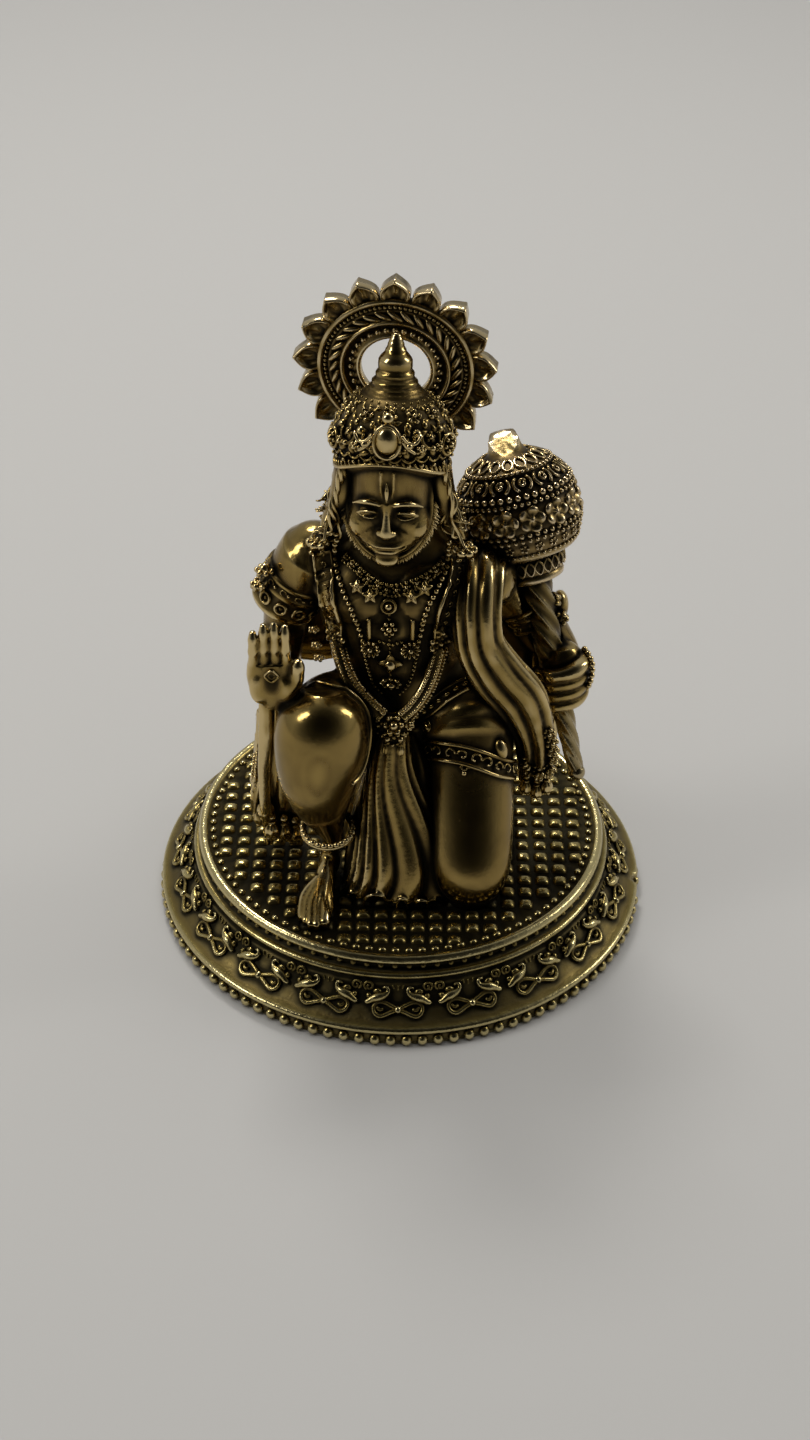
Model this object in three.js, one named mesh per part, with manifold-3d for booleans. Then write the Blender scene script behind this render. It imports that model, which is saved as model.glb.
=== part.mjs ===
// Kneeling Hanuman with a petalled halo and a mace, on a round stepped plinth, in cast brass.
// Millimetres, Z up, the figure faces -Y, and the origin is under the middle of the plinth.
import * as THREE from 'three';
import { mergeVertices } from 'three/addons/utils/BufferGeometryUtils.js';
import Module from 'manifold-3d';

const wasm = await Module();
wasm.setup();

// Driving dimensions
const fitGap = 0.3;
const figureHeight = 78.8;

const baseRadius = 34;
const plinthHeight = 10.4;
const beadBandHeight = 1.9;
const beadBandBulge = 0.5;
const lipHeight = 1.0;
const lipInset = 0.9;
const lipBulge = 0.5;
const lowerRollRadius = 28.9;
const lowerRollHeight = 0.9;
const lowerRollBulge = 0.5;
const beadGrooveHeight = 1.1;
const beadGrooveDepth = 0.7;
const rimRadius = 28.2;
const rimRollHeight = 1.1;
const rimRollBulge = 0.45;
const rimRollWidth = 1.2;
const fieldDepth = 0.4;
const slopeSag = 0.5;
const leafCount = 20;
const leafRelief = 0.7;
const leafSides = 3;
const notchWidth = 2.8;
const notchDepth = 1.2;
const notchAngle = -0.09;

const haloTipRadius = 12.7;
const haloHoleRadius = 4.3;
const haloThickness = 2.2;
const haloPetals = 17;
const haloRopeRadius = 7.7;
const haloRopeWire = 0.8;
const haloBevel = 0.35;
const haloTilt = 0.1;
const haloTurn = -0.113;

const crownTilt = 0.2;
const headTurn = 0.09;

const maceBallRadius = 8.2;
const maceShaftRadius = 2.7;
const maceShaftEndRadius = 1.05;
const maceLength = 37.6;
const maceKnobRadius = 1.2;
const maceGateRadius = 1.9;
const maceFlutes = 5;

// The pose is drawn on a grid that has this many rows between the disc and the top of the halo
const gridRowCount = 78.8;
const grid = figureHeight / gridRowCount;
const fieldTop = plinthHeight - fieldDepth;
const figureFoot = fieldTop + fitGap;

const SIDEWAYS = new THREE.Vector3(1, 0, 0);
const DEEP = new THREE.Vector3(0, 1, 0);
const UP = new THREE.Vector3(0, 0, 1);

// Joining and cutting

function solid(geometry) {
  geometry.deleteAttribute('normal');
  geometry.deleteAttribute('uv');
  const merged = mergeVertices(geometry, 1e-5);
  return new wasm.Manifold(new wasm.Mesh({
    numProp: 3,
    vertProperties: new Float32Array(merged.attributes.position.array),
    triVerts: new Uint32Array(merged.index.array),
  }));
}

function join(solids) {
  return solids.reduce((whole, piece) => whole.add(piece));
}

function meshOf(name, body, material) {
  const { vertProperties, triVerts } = body.getMesh();
  const geometry = new THREE.BufferGeometry();
  geometry.setAttribute('position', new THREE.BufferAttribute(new Float32Array(vertProperties), 3));
  geometry.setIndex(new THREE.BufferAttribute(new Uint32Array(triVerts), 1));
  const mesh = new THREE.Mesh(geometry, material);
  mesh.name = name;
  return mesh;
}

// Shapes

// A closed round form through stations [x, y, z, half width, half depth], drawn on the figure's grid.
// Angle 0 of the relief is along `across`, and a quarter turn on is the front when the stations rise.
function limb(stations, sides, rings, across = SIDEWAYS, relief = () => 0) {
  const spine = new THREE.CatmullRomCurve3(stations.map(([x, y, z]) => new THREE.Vector3(x, y, z)));
  const girth = new THREE.CatmullRomCurve3(stations.map(([, , , a, b = a]) => new THREE.Vector3(a, b, 0)));
  spine.curveType = 'catmullrom';
  girth.curveType = 'catmullrom';
  const tube = new THREE.CylinderGeometry(1, 1, 1, sides, rings);
  const place = tube.attributes.position;
  for (let i = 0; i < place.count; i += 1) {
    const t = THREE.MathUtils.clamp(place.getY(i) + 0.5, 0, 1);
    const centre = spine.getPoint(t);
    const along = spine.getTangent(t);
    const size = girth.getPoint(t);
    const side = across.clone().addScaledVector(along, -across.dot(along)).normalize();
    const front = side.clone().cross(along);
    const rim = Math.hypot(place.getX(i), place.getZ(i));
    const angle = Math.atan2(place.getZ(i), place.getX(i));
    const extra = rim > 0.5 ? relief(angle, t) : 0;
    centre.addScaledVector(side, place.getX(i) * (Math.max(size.x, 0.05) + extra));
    centre.addScaledVector(front, place.getZ(i) * (Math.max(size.y, 0.05) + extra));
    place.setXYZ(i, centre.x * grid, centre.y * grid, centre.z * grid);
  }
  return solid(tube);
}

function ball(x, y, z, a, b, c, around = 10, up = 6) {
  const sphere = new THREE.SphereGeometry(1, around, up).rotateX(Math.PI / 2);
  return solid(sphere.scale(a * grid, b * grid, c * grid).translate(x * grid, y * grid, z * grid));
}

// A turned form about Z from [radius, height] pairs, from the bottom up, that starts and ends on the axis
function turned(profile, segments) {
  const points = profile.map(([r, z]) => new THREE.Vector2(r, z));
  return new THREE.LatheGeometry(points, segments).rotateX(Math.PI / 2);
}

// Points of a half-round roll that bulges outwards from one height to another
function roll(radius, from, to, bulge, steps) {
  return Array.from({ length: steps + 1 }, (_, k) => {
    const turn = (Math.PI * k) / steps;
    return [radius + bulge * Math.sin(turn), from + ((to - from) * (1 - Math.cos(turn))) / 2];
  });
}

// Plinth

function plinth() {
  const lipBottom = beadBandHeight;
  const slopeBottom = lipBottom + lipHeight;
  const rimBottom = plinthHeight - rimRollHeight;
  const grooveBottom = rimBottom - beadGrooveHeight;
  const slopeTop = grooveBottom - lowerRollHeight;
  const slopeFoot = baseRadius - lipInset - lipBulge;
  const slopeHead = lowerRollRadius;
  const slopeSteps = 3;
  const slope = Array.from({ length: slopeSteps - 1 }, (_, k) => {
    const t = (k + 1) / slopeSteps;
    const sag = slopeSag * Math.sin(Math.PI * t);
    return [slopeFoot + (slopeHead - slopeFoot) * t - sag, slopeBottom + (slopeTop - slopeBottom) * t];
  });
  const profile = [
    [0, 0],
    ...roll(baseRadius - beadBandBulge, 0, beadBandHeight, beadBandBulge, 2),
    ...roll(baseRadius - lipInset, lipBottom, slopeBottom, lipBulge, 2).slice(1),
    ...slope,
    ...roll(lowerRollRadius - lowerRollBulge, slopeTop, grooveBottom, lowerRollBulge, 2),
    [rimRadius - beadGrooveDepth, grooveBottom],
    [rimRadius - beadGrooveDepth, rimBottom],
    ...roll(rimRadius - rimRollBulge, rimBottom, plinthHeight, rimRollBulge, 2),
    [rimRadius - rimRollWidth, plinthHeight],
    [rimRadius - rimRollWidth, fieldTop],
    [0, fieldTop],
  ];
  const shape = turned(profile, leafCount * leafSides);
  const place = shape.attributes.position;
  for (let i = 0; i < place.count; i += 1) {
    const z = place.getZ(i);
    const r = Math.hypot(place.getX(i), place.getY(i));
    const t = (z - slopeBottom) / (slopeTop - slopeBottom);
    if (t > 0.01 && t < 0.99 && r > rimRadius) {
      const turn = Math.atan2(place.getY(i), place.getX(i));
      const lobe = 0.5 - 0.5 * Math.cos(leafCount * turn + (t > 0.5 ? Math.PI : 0));
      const swell = 1 + (leafRelief * lobe) / r;
      place.setXYZ(i, place.getX(i) * swell, place.getY(i) * swell, z);
    }
  }
  const bite = new THREE.CylinderGeometry(notchWidth / 2, notchWidth / 2, 2 * slopeBottom, 8);
  bite.rotateX(Math.PI / 2).translate(baseRadius - notchDepth + notchWidth / 2, 0, 0).rotateZ(notchAngle);
  return solid(shape).subtract(solid(bite));
}

// Halo: a flat ring with a rim of pointed petals and a raised rope band, standing up in its own plane

function haloShape() {
  const step = (2 * Math.PI) / haloPetals;
  const outline = new THREE.Shape();
  for (let k = 0; k < haloPetals; k += 1) {
    const corners = [[0, 1], [0.34, 0.89], [0.5, 0.74], [0.66, 0.89]];
    for (const [share, reach] of corners) {
      const turn = Math.PI / 2 + (k + share) * step;
      const r = haloTipRadius * reach;
      if (k === 0 && share === 0) outline.moveTo(r * Math.cos(turn), r * Math.sin(turn));
      else outline.lineTo(r * Math.cos(turn), r * Math.sin(turn));
    }
  }
  const hole = new THREE.Path().absarc(0, 0, haloHoleRadius, 0, 2 * Math.PI, true);
  outline.holes.push(hole);
  const thickness = haloThickness - haloRopeWire;
  const flat = new THREE.ExtrudeGeometry(outline, {
    depth: thickness - haloBevel,
    curveSegments: haloPetals,
    bevelThickness: haloBevel / 2,
    bevelSize: haloBevel,
    bevelOffset: -haloBevel,
    bevelSegments: 1,
  });
  const rope = new THREE.TorusGeometry(haloRopeRadius, haloRopeWire, 4, 24);
  flat.translate(0, 0, (haloBevel - thickness) / 2);
  rope.translate(0, 0, thickness / 2);
  return solid(flat).add(solid(rope));
}

const haloPlace = new THREE.Vector3(-1.6, 7.9, 66.1).multiplyScalar(grid);

function standHalo(body) {
  const degree = 180 / Math.PI;
  return body
    .rotate([90 + haloTilt * degree, 0, haloTurn * degree])
    .translate([haloPlace.x, haloPlace.y, haloPlace.z + figureFoot]);
}

// The room that the halo takes up behind the crown
function haloRoom() {
  const half = haloThickness / 2 + fitGap;
  const disc = new THREE.CylinderGeometry(haloTipRadius + fitGap, haloTipRadius + fitGap, 2 * half, 24);
  return standHalo(solid(disc.rotateX(Math.PI / 2)));
}

// Mace: an onion-shaped head with stepped rows, a lattice collar, and a fluted shaft down to a knob.
// It is turned about its own axis with the middle of the head at 0, then leant onto the shoulder.

const maceHead = new THREE.Vector3(14.6, 8, 45.8).multiplyScalar(grid);
const maceFoot = new THREE.Vector3(23.7, -2, 10.8).multiplyScalar(grid);

function maceShape() {
  const R = maceBallRadius;
  const rows = [
    [0, -1.1], [0.46, -1.1], [0.56, -0.84], [0.84, -0.58], [0.84, -0.51], [0.98, -0.22], [0.93, -0.16],
    [1.0, 0.02], [0.98, 0.26], [0.9, 0.32], [0.86, 0.54], [0.76, 0.6], [0.68, 0.76], [0.44, 0.9],
  ].map(([r, z]) => [r * R, z * R]);
  const gate = [[maceGateRadius, 1.04 * R], [0.85 * maceGateRadius, 1.24 * R], [0, 1.24 * R]];
  const flute = new THREE.CylinderGeometry(1, 1, 1, maceFlutes * 2, 8);
  const place = flute.attributes.position;
  for (let i = 0; i < place.count; i += 1) {
    const down = 0.5 - place.getY(i);
    const r = THREE.MathUtils.lerp(maceShaftRadius, maceShaftEndRadius, down);
    const angle = Math.atan2(place.getZ(i), place.getX(i));
    const rim = Math.hypot(place.getX(i), place.getZ(i)) > 0.5 ? 1 : 0;
    const ridge = r - 0.12 * r * (1 - Math.cos(maceFlutes * angle));
    const turn = angle + 2.4 * down;
    place.setXYZ(i, rim * ridge * Math.cos(turn), -down * maceLength, rim * ridge * Math.sin(turn));
  }
  const knob = new THREE.SphereGeometry(maceKnobRadius, 8, 5).translate(0, -maceLength, 0);
  return join([
    solid(turned([...rows, ...gate], 16)),
    solid(flute.rotateX(Math.PI / 2)),
    solid(knob.rotateX(Math.PI / 2)),
  ]);
}

function leanMace(body) {
  const up = maceHead.clone().sub(maceFoot).normalize();
  const turn = new THREE.Quaternion().setFromUnitVectors(UP, up);
  const lean = new THREE.Matrix4().makeRotationFromQuaternion(turn);
  lean.setPosition(maceHead.x, maceHead.y, maceHead.z + figureFoot);
  return body.transform(lean.elements);
}

// The room that the mace takes up on the shoulder and in the fist
function maceRoom() {
  const sides = 14;
  const flats = 1 / Math.cos(Math.PI / sides);
  const R = maceBallRadius;
  const foot = maceLength + maceKnobRadius + fitGap;
  const profile = [
    [maceKnobRadius, -foot], [maceShaftRadius, -1.12 * R - fitGap], [0.56 * R, -1.12 * R - fitGap],
    [0.58 * R, -0.88 * R], [0.86 * R, -0.62 * R], [R, -0.26 * R], [R, 0.3 * R], [0.9 * R, 0.56 * R],
    [0.72 * R, 0.8 * R],
  ].map(([r, z]) => [(r + fitGap) * flats, z]);
  return leanMace(solid(turned([[0, -foot], ...profile, [0, 0.8 * R]], sides)));
}

// Figure, drawn on the grid with z counted from its foot

const middle = -1.7;

function torso() {
  const body = limb([
    [0.4, 1.4, 17, 8, 6.6],
    [0, 0, 24, 7.9, 6],
    [-1, -0.4, 31, 8.6, 6.3],
    [middle, 0, 38, 9.8, 6.6],
    [middle, 0.8, 43, 9.9, 5.6],
    [middle, 0.8, 46.4, 6.8, 4.5],
    [middle, -0.4, 50, 3.5, 3.6],
  ], 10, 6);
  return join([body, ball(-11.6, 1.4, 42.6, 4.5, 4.7, 4.6, 8, 4), ball(9.6, 0.8, 39.8, 4.6, 4.4, 4.2, 8, 4)]);
}

function rightLeg() {
  const shin = limb([
    [-9.6, -11.9, 1.5, 1, 1.3],
    [-9.6, -12.2, 6.4, 1.2, 1.45],
    [-9.75, -12.5, 10.9, 2.7, 2.9],
    [-10.3, -12.6, 14, 4, 4.2],
    [-10.7, -12.6, 18, 5.3, 5.4],
    [-10.4, -12, 23.5, 6.1, 6.2],
    [-10.1, -11.4, 27.6, 5.3, 5.5],
    [-10, -10.6, 30.2, 2.6, 2.8],
  ], 10, 9);
  const thigh = limb([
    [-3, 4, 14, 6, 7],
    [-6, -1, 18.5, 6.2, 6.6],
    [-8.8, -7, 23.4, 6, 5.8],
    [-10, -11, 26, 4.5, 4.3],
  ], 8, 3);
  const foot = limb([
    [-9.2, -9.4, 1.6, 1, 1.2],
    [-9.5, -11, 2.2, 1.4, 2],
    [-9.8, -13.4, 2.6, 1.2, 2],
    [-10.3, -16.4, 1.8, 1.8, 1.5],
    [-11.1, -19.4, 1, 2.6, 0.9],
    [-11.1, -23, 0.5, 1.3, 0.5],
  ], 8, 7);
  return join([shin, thigh, foot]);
}

function leftLeg() {
  const thigh = limb([
    [9.4, -15, 1, 3.8, 3.3],
    [9.3, -14.6, 4, 5.2, 4.6],
    [9.1, -11.1, 9, 5.8, 5.4],
    [8.8, -6.6, 15.3, 6, 5.8],
    [8, -2.4, 21.8, 6.3, 6.1],
    [6, 1, 26, 4, 4],
  ], 10, 6);
  const shin = limb([
    [9.8, -13, 3.4, 3.2, 3.2],
    [10.6, -5, 4, 4.4, 3.8],
    [11, 4, 3.8, 4, 3.6],
    [10.4, 11, 2.8, 2.7, 2.6],
    [9.8, 16, 2.4, 2.5, 2.2],
    [9.6, 19.5, 1.6, 2.4, 1.4],
  ], 8, 5);
  return join([thigh, shin]);
}

function rightArm() {
  const arm = limb([
    [-11.8, 1.2, 43.4, 3.9, 4.3],
    [-13.5, 1.8, 40, 4.1, 4.4],
    [-15.1, 2.6, 35.5, 3.3, 3.6],
    [-15.7, 2.6, 31, 2.9, 3.3],
    [-16.3, -1.5, 28.6, 2.8, 2.9],
    [-16.5, -6.5, 28.4, 2.3, 2.3],
    [-16.5, -9.8, 28.6, 1.9, 2],
  ], 8, 8);
  const armlet = limb([
    [-15.3, 2.6, 35, 3.9, 4.1], [-14.6, 2.2, 37.6, 4.4, 4.7], [-14, 2, 39.2, 4.1, 4.4],
  ], 8, 2);
  const crest = ball(-17.7, 1.6, 39.4, 1.2, 1.5, 2.5, 6, 4);
  return join([arm, armlet, crest, rightHand()]);
}

// Palm to the front, four fingers up and the thumb on the inner side
function rightHand() {
  const palm = limb([
    [-16.3, -10.4, 28, 1.7, 1.6],
    [-16.4, -10.8, 30, 2.9, 1.7],
    [-16.5, -11, 32.5, 3.3, 1.5],
    [-16.7, -11, 35, 3, 1.2],
  ], 8, 3);
  const tips = [39.2, 40.4, 40.7, 40.2];
  const fingers = tips.map((tip, k) => {
    const x = -18.8 + 1.34 * k;
    return limb([[x, -11, 33.8, 0.76], [x, -11.2, 37, 0.8], [x, -11, tip, 0.55]], 4, 2);
  });
  const thumb = limb([
    [-14.4, -11.2, 30.4, 1.2], [-13.5, -11.6, 32.6, 1.1], [-13.2, -11.8, 35.2, 0.6],
  ], 5, 2);
  return join([palm, ...fingers, thumb]);
}

function leftArm() {
  const arm = limb([
    [9.8, 1.8, 40.4, 3.9, 4.1],
    [12.2, 4, 38, 4.1, 4.3],
    [15.2, 5.8, 33.4, 3.7, 3.8],
    [18.4, 6.6, 28.6, 3.4, 3.6],
    [21.2, 5.6, 25.6, 2.8, 2.9],
    [22.4, 3.4, 24.8, 2.3, 2.4],
  ], 8, 7);
  const armlet = limb([[16, 6.2, 32.4, 4, 4], [14.8, 5.8, 34.4, 4.6, 4.7], [13.4, 5, 36.2, 4.3, 4.4]], 8, 2);
  const crest = ball(20.6, 6.4, 32, 1.2, 1.7, 2.3, 6, 4);
  const fist = limb([
    [21.9, 1.4, 21.2, 2.1, 2.2],
    [22.1, 1.3, 22.6, 3.1, 3.1],
    [22.1, 1.5, 25, 3.3, 3.2],
    [21.9, 1.8, 27.2, 2.8, 2.9],
    [21.4, 2, 28.4, 1.7, 1.8],
  ], 8, 7, SIDEWAYS, (angle, t) => 0.3 * Math.sin(t * Math.PI * 7));
  const groove = maceRoom().translate([0, -2.4 * grid, 1.6 * grid - figureFoot]);
  return join([arm, armlet]).subtract(groove).add(crest).add(fist);
}

function head() {
  const skull = limb([
    [middle, -4.8, 46.4, 1.5, 1.4],
    [middle, -3.8, 48, 3, 3.4],
    [middle, -2.6, 51, 4.2, 4.8],
    [middle, -1.6, 55, 4.8, 5.7],
    [middle, -1, 59.5, 5.1, 6],
    [middle, -0.6, 62.5, 4.5, 5],
  ], 12, 6);
  const muzzle = ball(middle, -6.2, 49.9, 2.6, 1.8, 1.7, 8, 4);
  const nose = limb([
    [middle, -7.6, 51.3, 1.1, 0.9], [middle, -7.5, 53, 0.7, 0.7], [middle, -6.7, 56, 0.5, 0.6],
  ], 5, 2);
  const rim = [[4.8, -3.4, 58.5], [4.8, -3.8, 55], [4.4, -4.4, 52], [3.5, -5.2, 49.2], [2, -5.9, 47.1]];
  const beard = [...rim.map(([x, y, z]) => [-x, y, z]), [0, -6.2, 46.5], ...rim.reverse()];
  const fur = limb(beard.map(([x, y, z]) => [middle + x, y, z, 0.8, 1.1]), 4, 10, DEEP);
  return join([skull, muzzle, nose, fur]);
}

function hair() {
  const mass = limb([
    [middle, 6.2, 40, 4.5, 1.6],
    [middle, 6, 43, 6.6, 2.6],
    [middle, 4.6, 48, 7, 3.6],
    [middle, 2.6, 54, 6.6, 4.6],
    [middle, 1.6, 59, 6.2, 5],
  ], 12, 3, SIDEWAYS, (angle) => 0.25 * Math.sin(6 * angle));
  const locks = [-1, 1].map((side) => limb([
    [middle + side * 8.7, -2, 46, 1.5, 1.2],
    [middle + side * 7.6, -1.4, 49.8, 1.7, 1.5],
    [middle + side * 6.4, -1.2, 53.8, 1.6, 1.9],
    [middle + side * 5.8, -0.8, 58.5, 1.5, 2.1],
  ], 5, 4, SIDEWAYS, (angle, t) => 0.3 * Math.sin(t * Math.PI * 4)));
  return join([mass, ...locks]);
}

function crown() {
  const dome = [
    [0, -3.4], [5.6, -3.2], [6.9, -1.8], [6.7, -0.7], [7.2, 0.4], [7.2, 1.6], [6.8, 3], [6.2, 4.6], [5, 5.9],
  ];
  const finial = [
    [3.7, 6.9], [3.1, 7.4], [2.8, 8.4], [2.3, 9], [2.1, 10.3], [1.9, 11.2], [1, 12.5], [0.8, 13.2], [0, 14.1],
  ];
  const profile = [...dome, ...finial].map(([r, z]) => [r * grid, z * grid]);
  const cap = turned(profile, 12).rotateX(-crownTilt).translate(middle * grid, -0.6 * grid, 60 * grid);
  const gem = ball(middle, -7.7, 64.6, 1.5, 1.2, 1.9, 6, 4);
  const lobes = [-1, 1].map((side) => ball(middle + side * 5.9, -2.2, 61.8, 1.4, 1.8, 2.2, 6, 4));
  return join([solid(cap), gem, ...lobes]);
}

// Pleated front fall of the dhoti, from the knot down to a scalloped hem on the disc
function pleats() {
  const folds = (angle, t) => 0.5 * (1.1 - t) * Math.cos(8 * angle);
  const fall = limb([
    [-1.1, -15.1, 0.2, 5.1, 3.4],
    [-0.8, -14.2, 4, 4.7, 3.2],
    [-1, -12, 10, 4.1, 3],
    [-1.5, -10, 17, 3.1, 2.7],
    [-1.3, -8.4, 23.6, 2.1, 2.2],
  ], 16, 4, SIDEWAYS, folds);
  const seat = limb([
    [1, 0.6, 0.2, 10.5, 9.8],
    [1, 0.6, 8, 10.8, 9.6],
    [0.8, 0.4, 15, 9.8, 8.6],
    [0.2, 0, 21.5, 8.2, 6.9],
  ], 10, 3);
  const sideFold = limb([
    [4.2, -12.8, 0.2, 2, 2.4],
    [3.8, -10.8, 8, 1.9, 2.1],
    [2.4, -8.4, 16, 1.3, 1.5],
    [1, -7.2, 20.5, 0.4, 0.5],
  ], 8, 4);
  const innerFold = limb([
    [-5.8, -12.6, 0.2, 1.7, 2.4],
    [-5.4, -11, 7, 1.6, 2.2],
    [-3.8, -9.2, 15, 1.2, 1.6],
    [-2.4, -7.6, 20, 0.5, 0.6],
  ], 8, 4);
  const knot = ball(-1.3, -9.8, 24.4, 2.4, 1.6, 1.7, 6, 4);
  return join([fall, seat, sideFold, innerFold, knot]);
}

// Shawl from the left shoulder across the body and out over the left hip
function shawl() {
  const folds = (angle) => 0.3 * Math.cos(6 * angle);
  const fall = limb([
    [18.2, -3.8, 11, 2.2, 1.3],
    [18.1, -4.4, 15, 2.6, 1.6],
    [17.4, -5.2, 20, 2.9, 1.9],
    [15.2, -5.8, 25.5, 3.3, 2.1],
    [12.4, -6, 29.8, 3.6, 2.2],
    [10.5, -5.8, 34, 3.6, 2.2],
    [9.5, -5.2, 38, 3.1, 2.1],
    [9.3, -3.8, 41, 2.8, 1.9],
    [9.6, -0.6, 42.8, 2.9, 1.6],
    [9.8, 3, 41.4, 3.1, 1.4],
    [8.8, 6.2, 37.5, 3.4, 1.4],
  ], 12, 11, SIDEWAYS, folds);
  const tassels = [0, 1, 2].map((k) => ball(16.4 + 1.7 * k, -4.6 + 0.7 * k, 9.8 + 0.7 * k, 1, 1, 2, 5, 4));
  return join([fall, ...tassels]);
}

// Sash ends hanging from the raised wrist in two layers, with heavy tassels that stand on the disc
function sash() {
  const front = limb([
    [-17.9, -6.6, 1, 0.6, 0.5],
    [-18.2, -7.4, 6, 0.7, 0.6],
    [-18.2, -8, 13, 0.9, 0.6],
    [-17.8, -9, 20, 1.05, 0.6],
    [-17.4, -9.6, 28, 1.1, 0.7],
  ], 4, 4);
  const back = limb([
    [-15.6, -5, 1, 2.2, 0.7],
    [-15.7, -4.8, 8, 2.5, 0.7],
    [-16, -3.4, 20, 2.6, 0.8],
    [-16.2, -2, 28, 2.6, 0.8],
  ], 6, 3);
  const tassels = [[-19, -5], [-17.4, -7], [-15.4, -6.4]].map(([x, y], k) => limb([
    [x, y, 0.2, 1.5, 1.2], [x, y, 2.4, 1.8, 1.5], [x, y, 5.4, 1.4, 1.2], [x, y, 7.4 + k % 2, 0.8, 0.8],
  ], 5, 3));
  const fringe = limb([
    [-19.4, -4.4, 4, 0.9, 1.1], [-19.6, -4.4, 10, 0.9, 1.2], [-19.2, -5, 16, 0.6, 0.8],
    [-18.4, -6.6, 24, 0.4, 0.5],
  ], 5, 3);
  return join([front, back, ...tassels, fringe]);
}

// Thick garland in a U from the breast to the knot, and the beaded bands of arm, thigh and ankle
function garland() {
  return limb([
    [-9.1, -6, 38.2, 0.9, 0.9],
    [-7.8, -7.3, 34, 1, 0.9],
    [-5.4, -8.6, 29.4, 1, 0.9],
    [-1.2, -9.6, 26, 1.1, 0.9],
    [2.6, -8.6, 29.6, 1, 0.9],
    [4.4, -7.5, 34, 1, 0.9],
    [5.2, -6.6, 38.2, 0.9, 0.9],
  ], 5, 8, DEEP);
}

function ring(centre, axis, radius, wire, around = 9) {
  const band = new THREE.TorusGeometry(radius * grid, wire * grid, 4, around);
  const turn = new THREE.Quaternion().setFromUnitVectors(UP, axis.clone().normalize());
  band.applyQuaternion(turn).translate(centre[0] * grid, centre[1] * grid, centre[2] * grid);
  return solid(band);
}

function bands() {
  return join([
    limb([[9, -7.4, 14.4, 6.2, 6.2], [8.6, -5.7, 16.8, 6.5, 6.4]], 10, 1),
    ring([-9.6, -13.2, 9.4], new THREE.Vector3(0, -0.15, 1), 3.6, 0.6, 11),
    ring([middle, -0.4, 46.9], new THREE.Vector3(0, -0.35, 1), 5.6, 0.6),
    ball(-11, -2.4, 47, 1.9, 1.3, 1.9, 6, 4),
    ball(7.6, -3.2, 46.4, 1.9, 1.3, 1.9, 6, 4),
  ]);
}

// Tail, low behind the figure, curling on the disc
function tail() {
  return limb([
    [1, 6, 9, 1.6], [1.5, 12, 6, 1.7], [-1.5, 17, 2.4, 1.6], [-6.5, 17.6, 1.7, 1.4], [-9, 14, 1.6, 1.3],
    [-7, 11.6, 1.5, 1.5],
  ], 5, 7, UP);
}

// Shawl's back, stretched behind the waist from elbow to elbow
function backDrape() {
  return limb([
    [-17, 4, 28.6, 3.6, 1], [-12.4, 5.2, 29.4, 6, 1.2], [-4, 6.9, 31, 7.6, 1.4], [8, 6.9, 30.2, 8, 1.4],
    [14, 6.2, 28, 7.8, 1.2], [19, 6, 25.2, 5.2, 1],
  ], 6, 6, UP);
}

// Turns a piece of the head about the neck, towards the raised hand
function turnHead(body) {
  const degrees = (-180 * headTurn) / Math.PI;
  const x = middle * grid;
  return body.translate([-x, 0, 0]).rotate([0, 0, degrees]).translate([x, 0, 0]);
}

// The room that the rim of the disc takes up round the figure
function rimRoom() {
  const inner = rimRadius - rimRollWidth - fitGap;
  const ring = new THREE.Shape().absarc(0, 0, 2 * baseRadius, 0, 2 * Math.PI);
  ring.holes.push(new THREE.Path().absarc(0, 0, inner, 0, 2 * Math.PI, true));
  const depth = plinthHeight + fitGap;
  return solid(new THREE.ExtrudeGeometry(ring, { depth, bevelEnabled: false, curveSegments: 60 }));
}

function figure() {
  const whole = join([
    torso(), rightLeg(), leftLeg(), rightArm(), leftArm(), turnHead(head()), hair(), turnHead(crown()),
    pleats(), shawl(), sash(), garland(), bands(), backDrape(), tail(),
  ]);
  const sole = solid(new THREE.BoxGeometry(3 * baseRadius, 3 * baseRadius, figureHeight)
    .translate(0, 0, -figureHeight / 2));
  const rooms = join([haloRoom(), maceRoom(), rimRoom()]);
  return whole.subtract(sole).translate([0, 0, figureFoot]).subtract(rooms);
}

// Antique brass: each piece with its own cast of the same metal

const brass = (color, roughness) => new THREE.MeshStandardMaterial({ color, roughness, metalness: 1 });

const model = new THREE.Group();
model.add(meshOf('plinth', plinth(), brass(0x8a7a3c, 0.42)));
model.add(meshOf('figure', figure(), brass(0x9a8644, 0.36)));
model.add(meshOf('halo', standHalo(haloShape()), brass(0x8f7d42, 0.42)));
model.add(meshOf('mace', leanMace(maceShape()), brass(0x9c8e62, 0.45)));

export default model;
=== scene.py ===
import math

import bpy
import numpy as np
import openvdb as vdb
from mathutils import Matrix, Vector


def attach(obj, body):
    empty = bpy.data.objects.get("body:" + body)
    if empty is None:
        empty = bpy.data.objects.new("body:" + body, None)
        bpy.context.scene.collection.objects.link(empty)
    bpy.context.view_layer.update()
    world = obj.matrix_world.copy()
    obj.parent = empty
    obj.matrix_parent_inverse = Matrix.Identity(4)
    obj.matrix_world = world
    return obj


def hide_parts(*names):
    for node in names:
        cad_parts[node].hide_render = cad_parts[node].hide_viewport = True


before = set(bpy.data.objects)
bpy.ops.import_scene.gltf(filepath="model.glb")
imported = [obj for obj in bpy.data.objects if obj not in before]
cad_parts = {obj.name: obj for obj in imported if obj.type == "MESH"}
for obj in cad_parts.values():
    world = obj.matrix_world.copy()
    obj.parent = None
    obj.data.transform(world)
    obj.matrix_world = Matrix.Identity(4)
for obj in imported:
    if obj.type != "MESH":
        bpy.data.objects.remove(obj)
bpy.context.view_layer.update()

# Millimetres, in the frame of the solids
FIELD_TOP = 10.0
FIGURE_FOOT = 10.3
SEAT = -0.35
MIDDLE = -1.7
CROWN_TILT = 0.2
HEAD_TURN = 0.09

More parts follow.
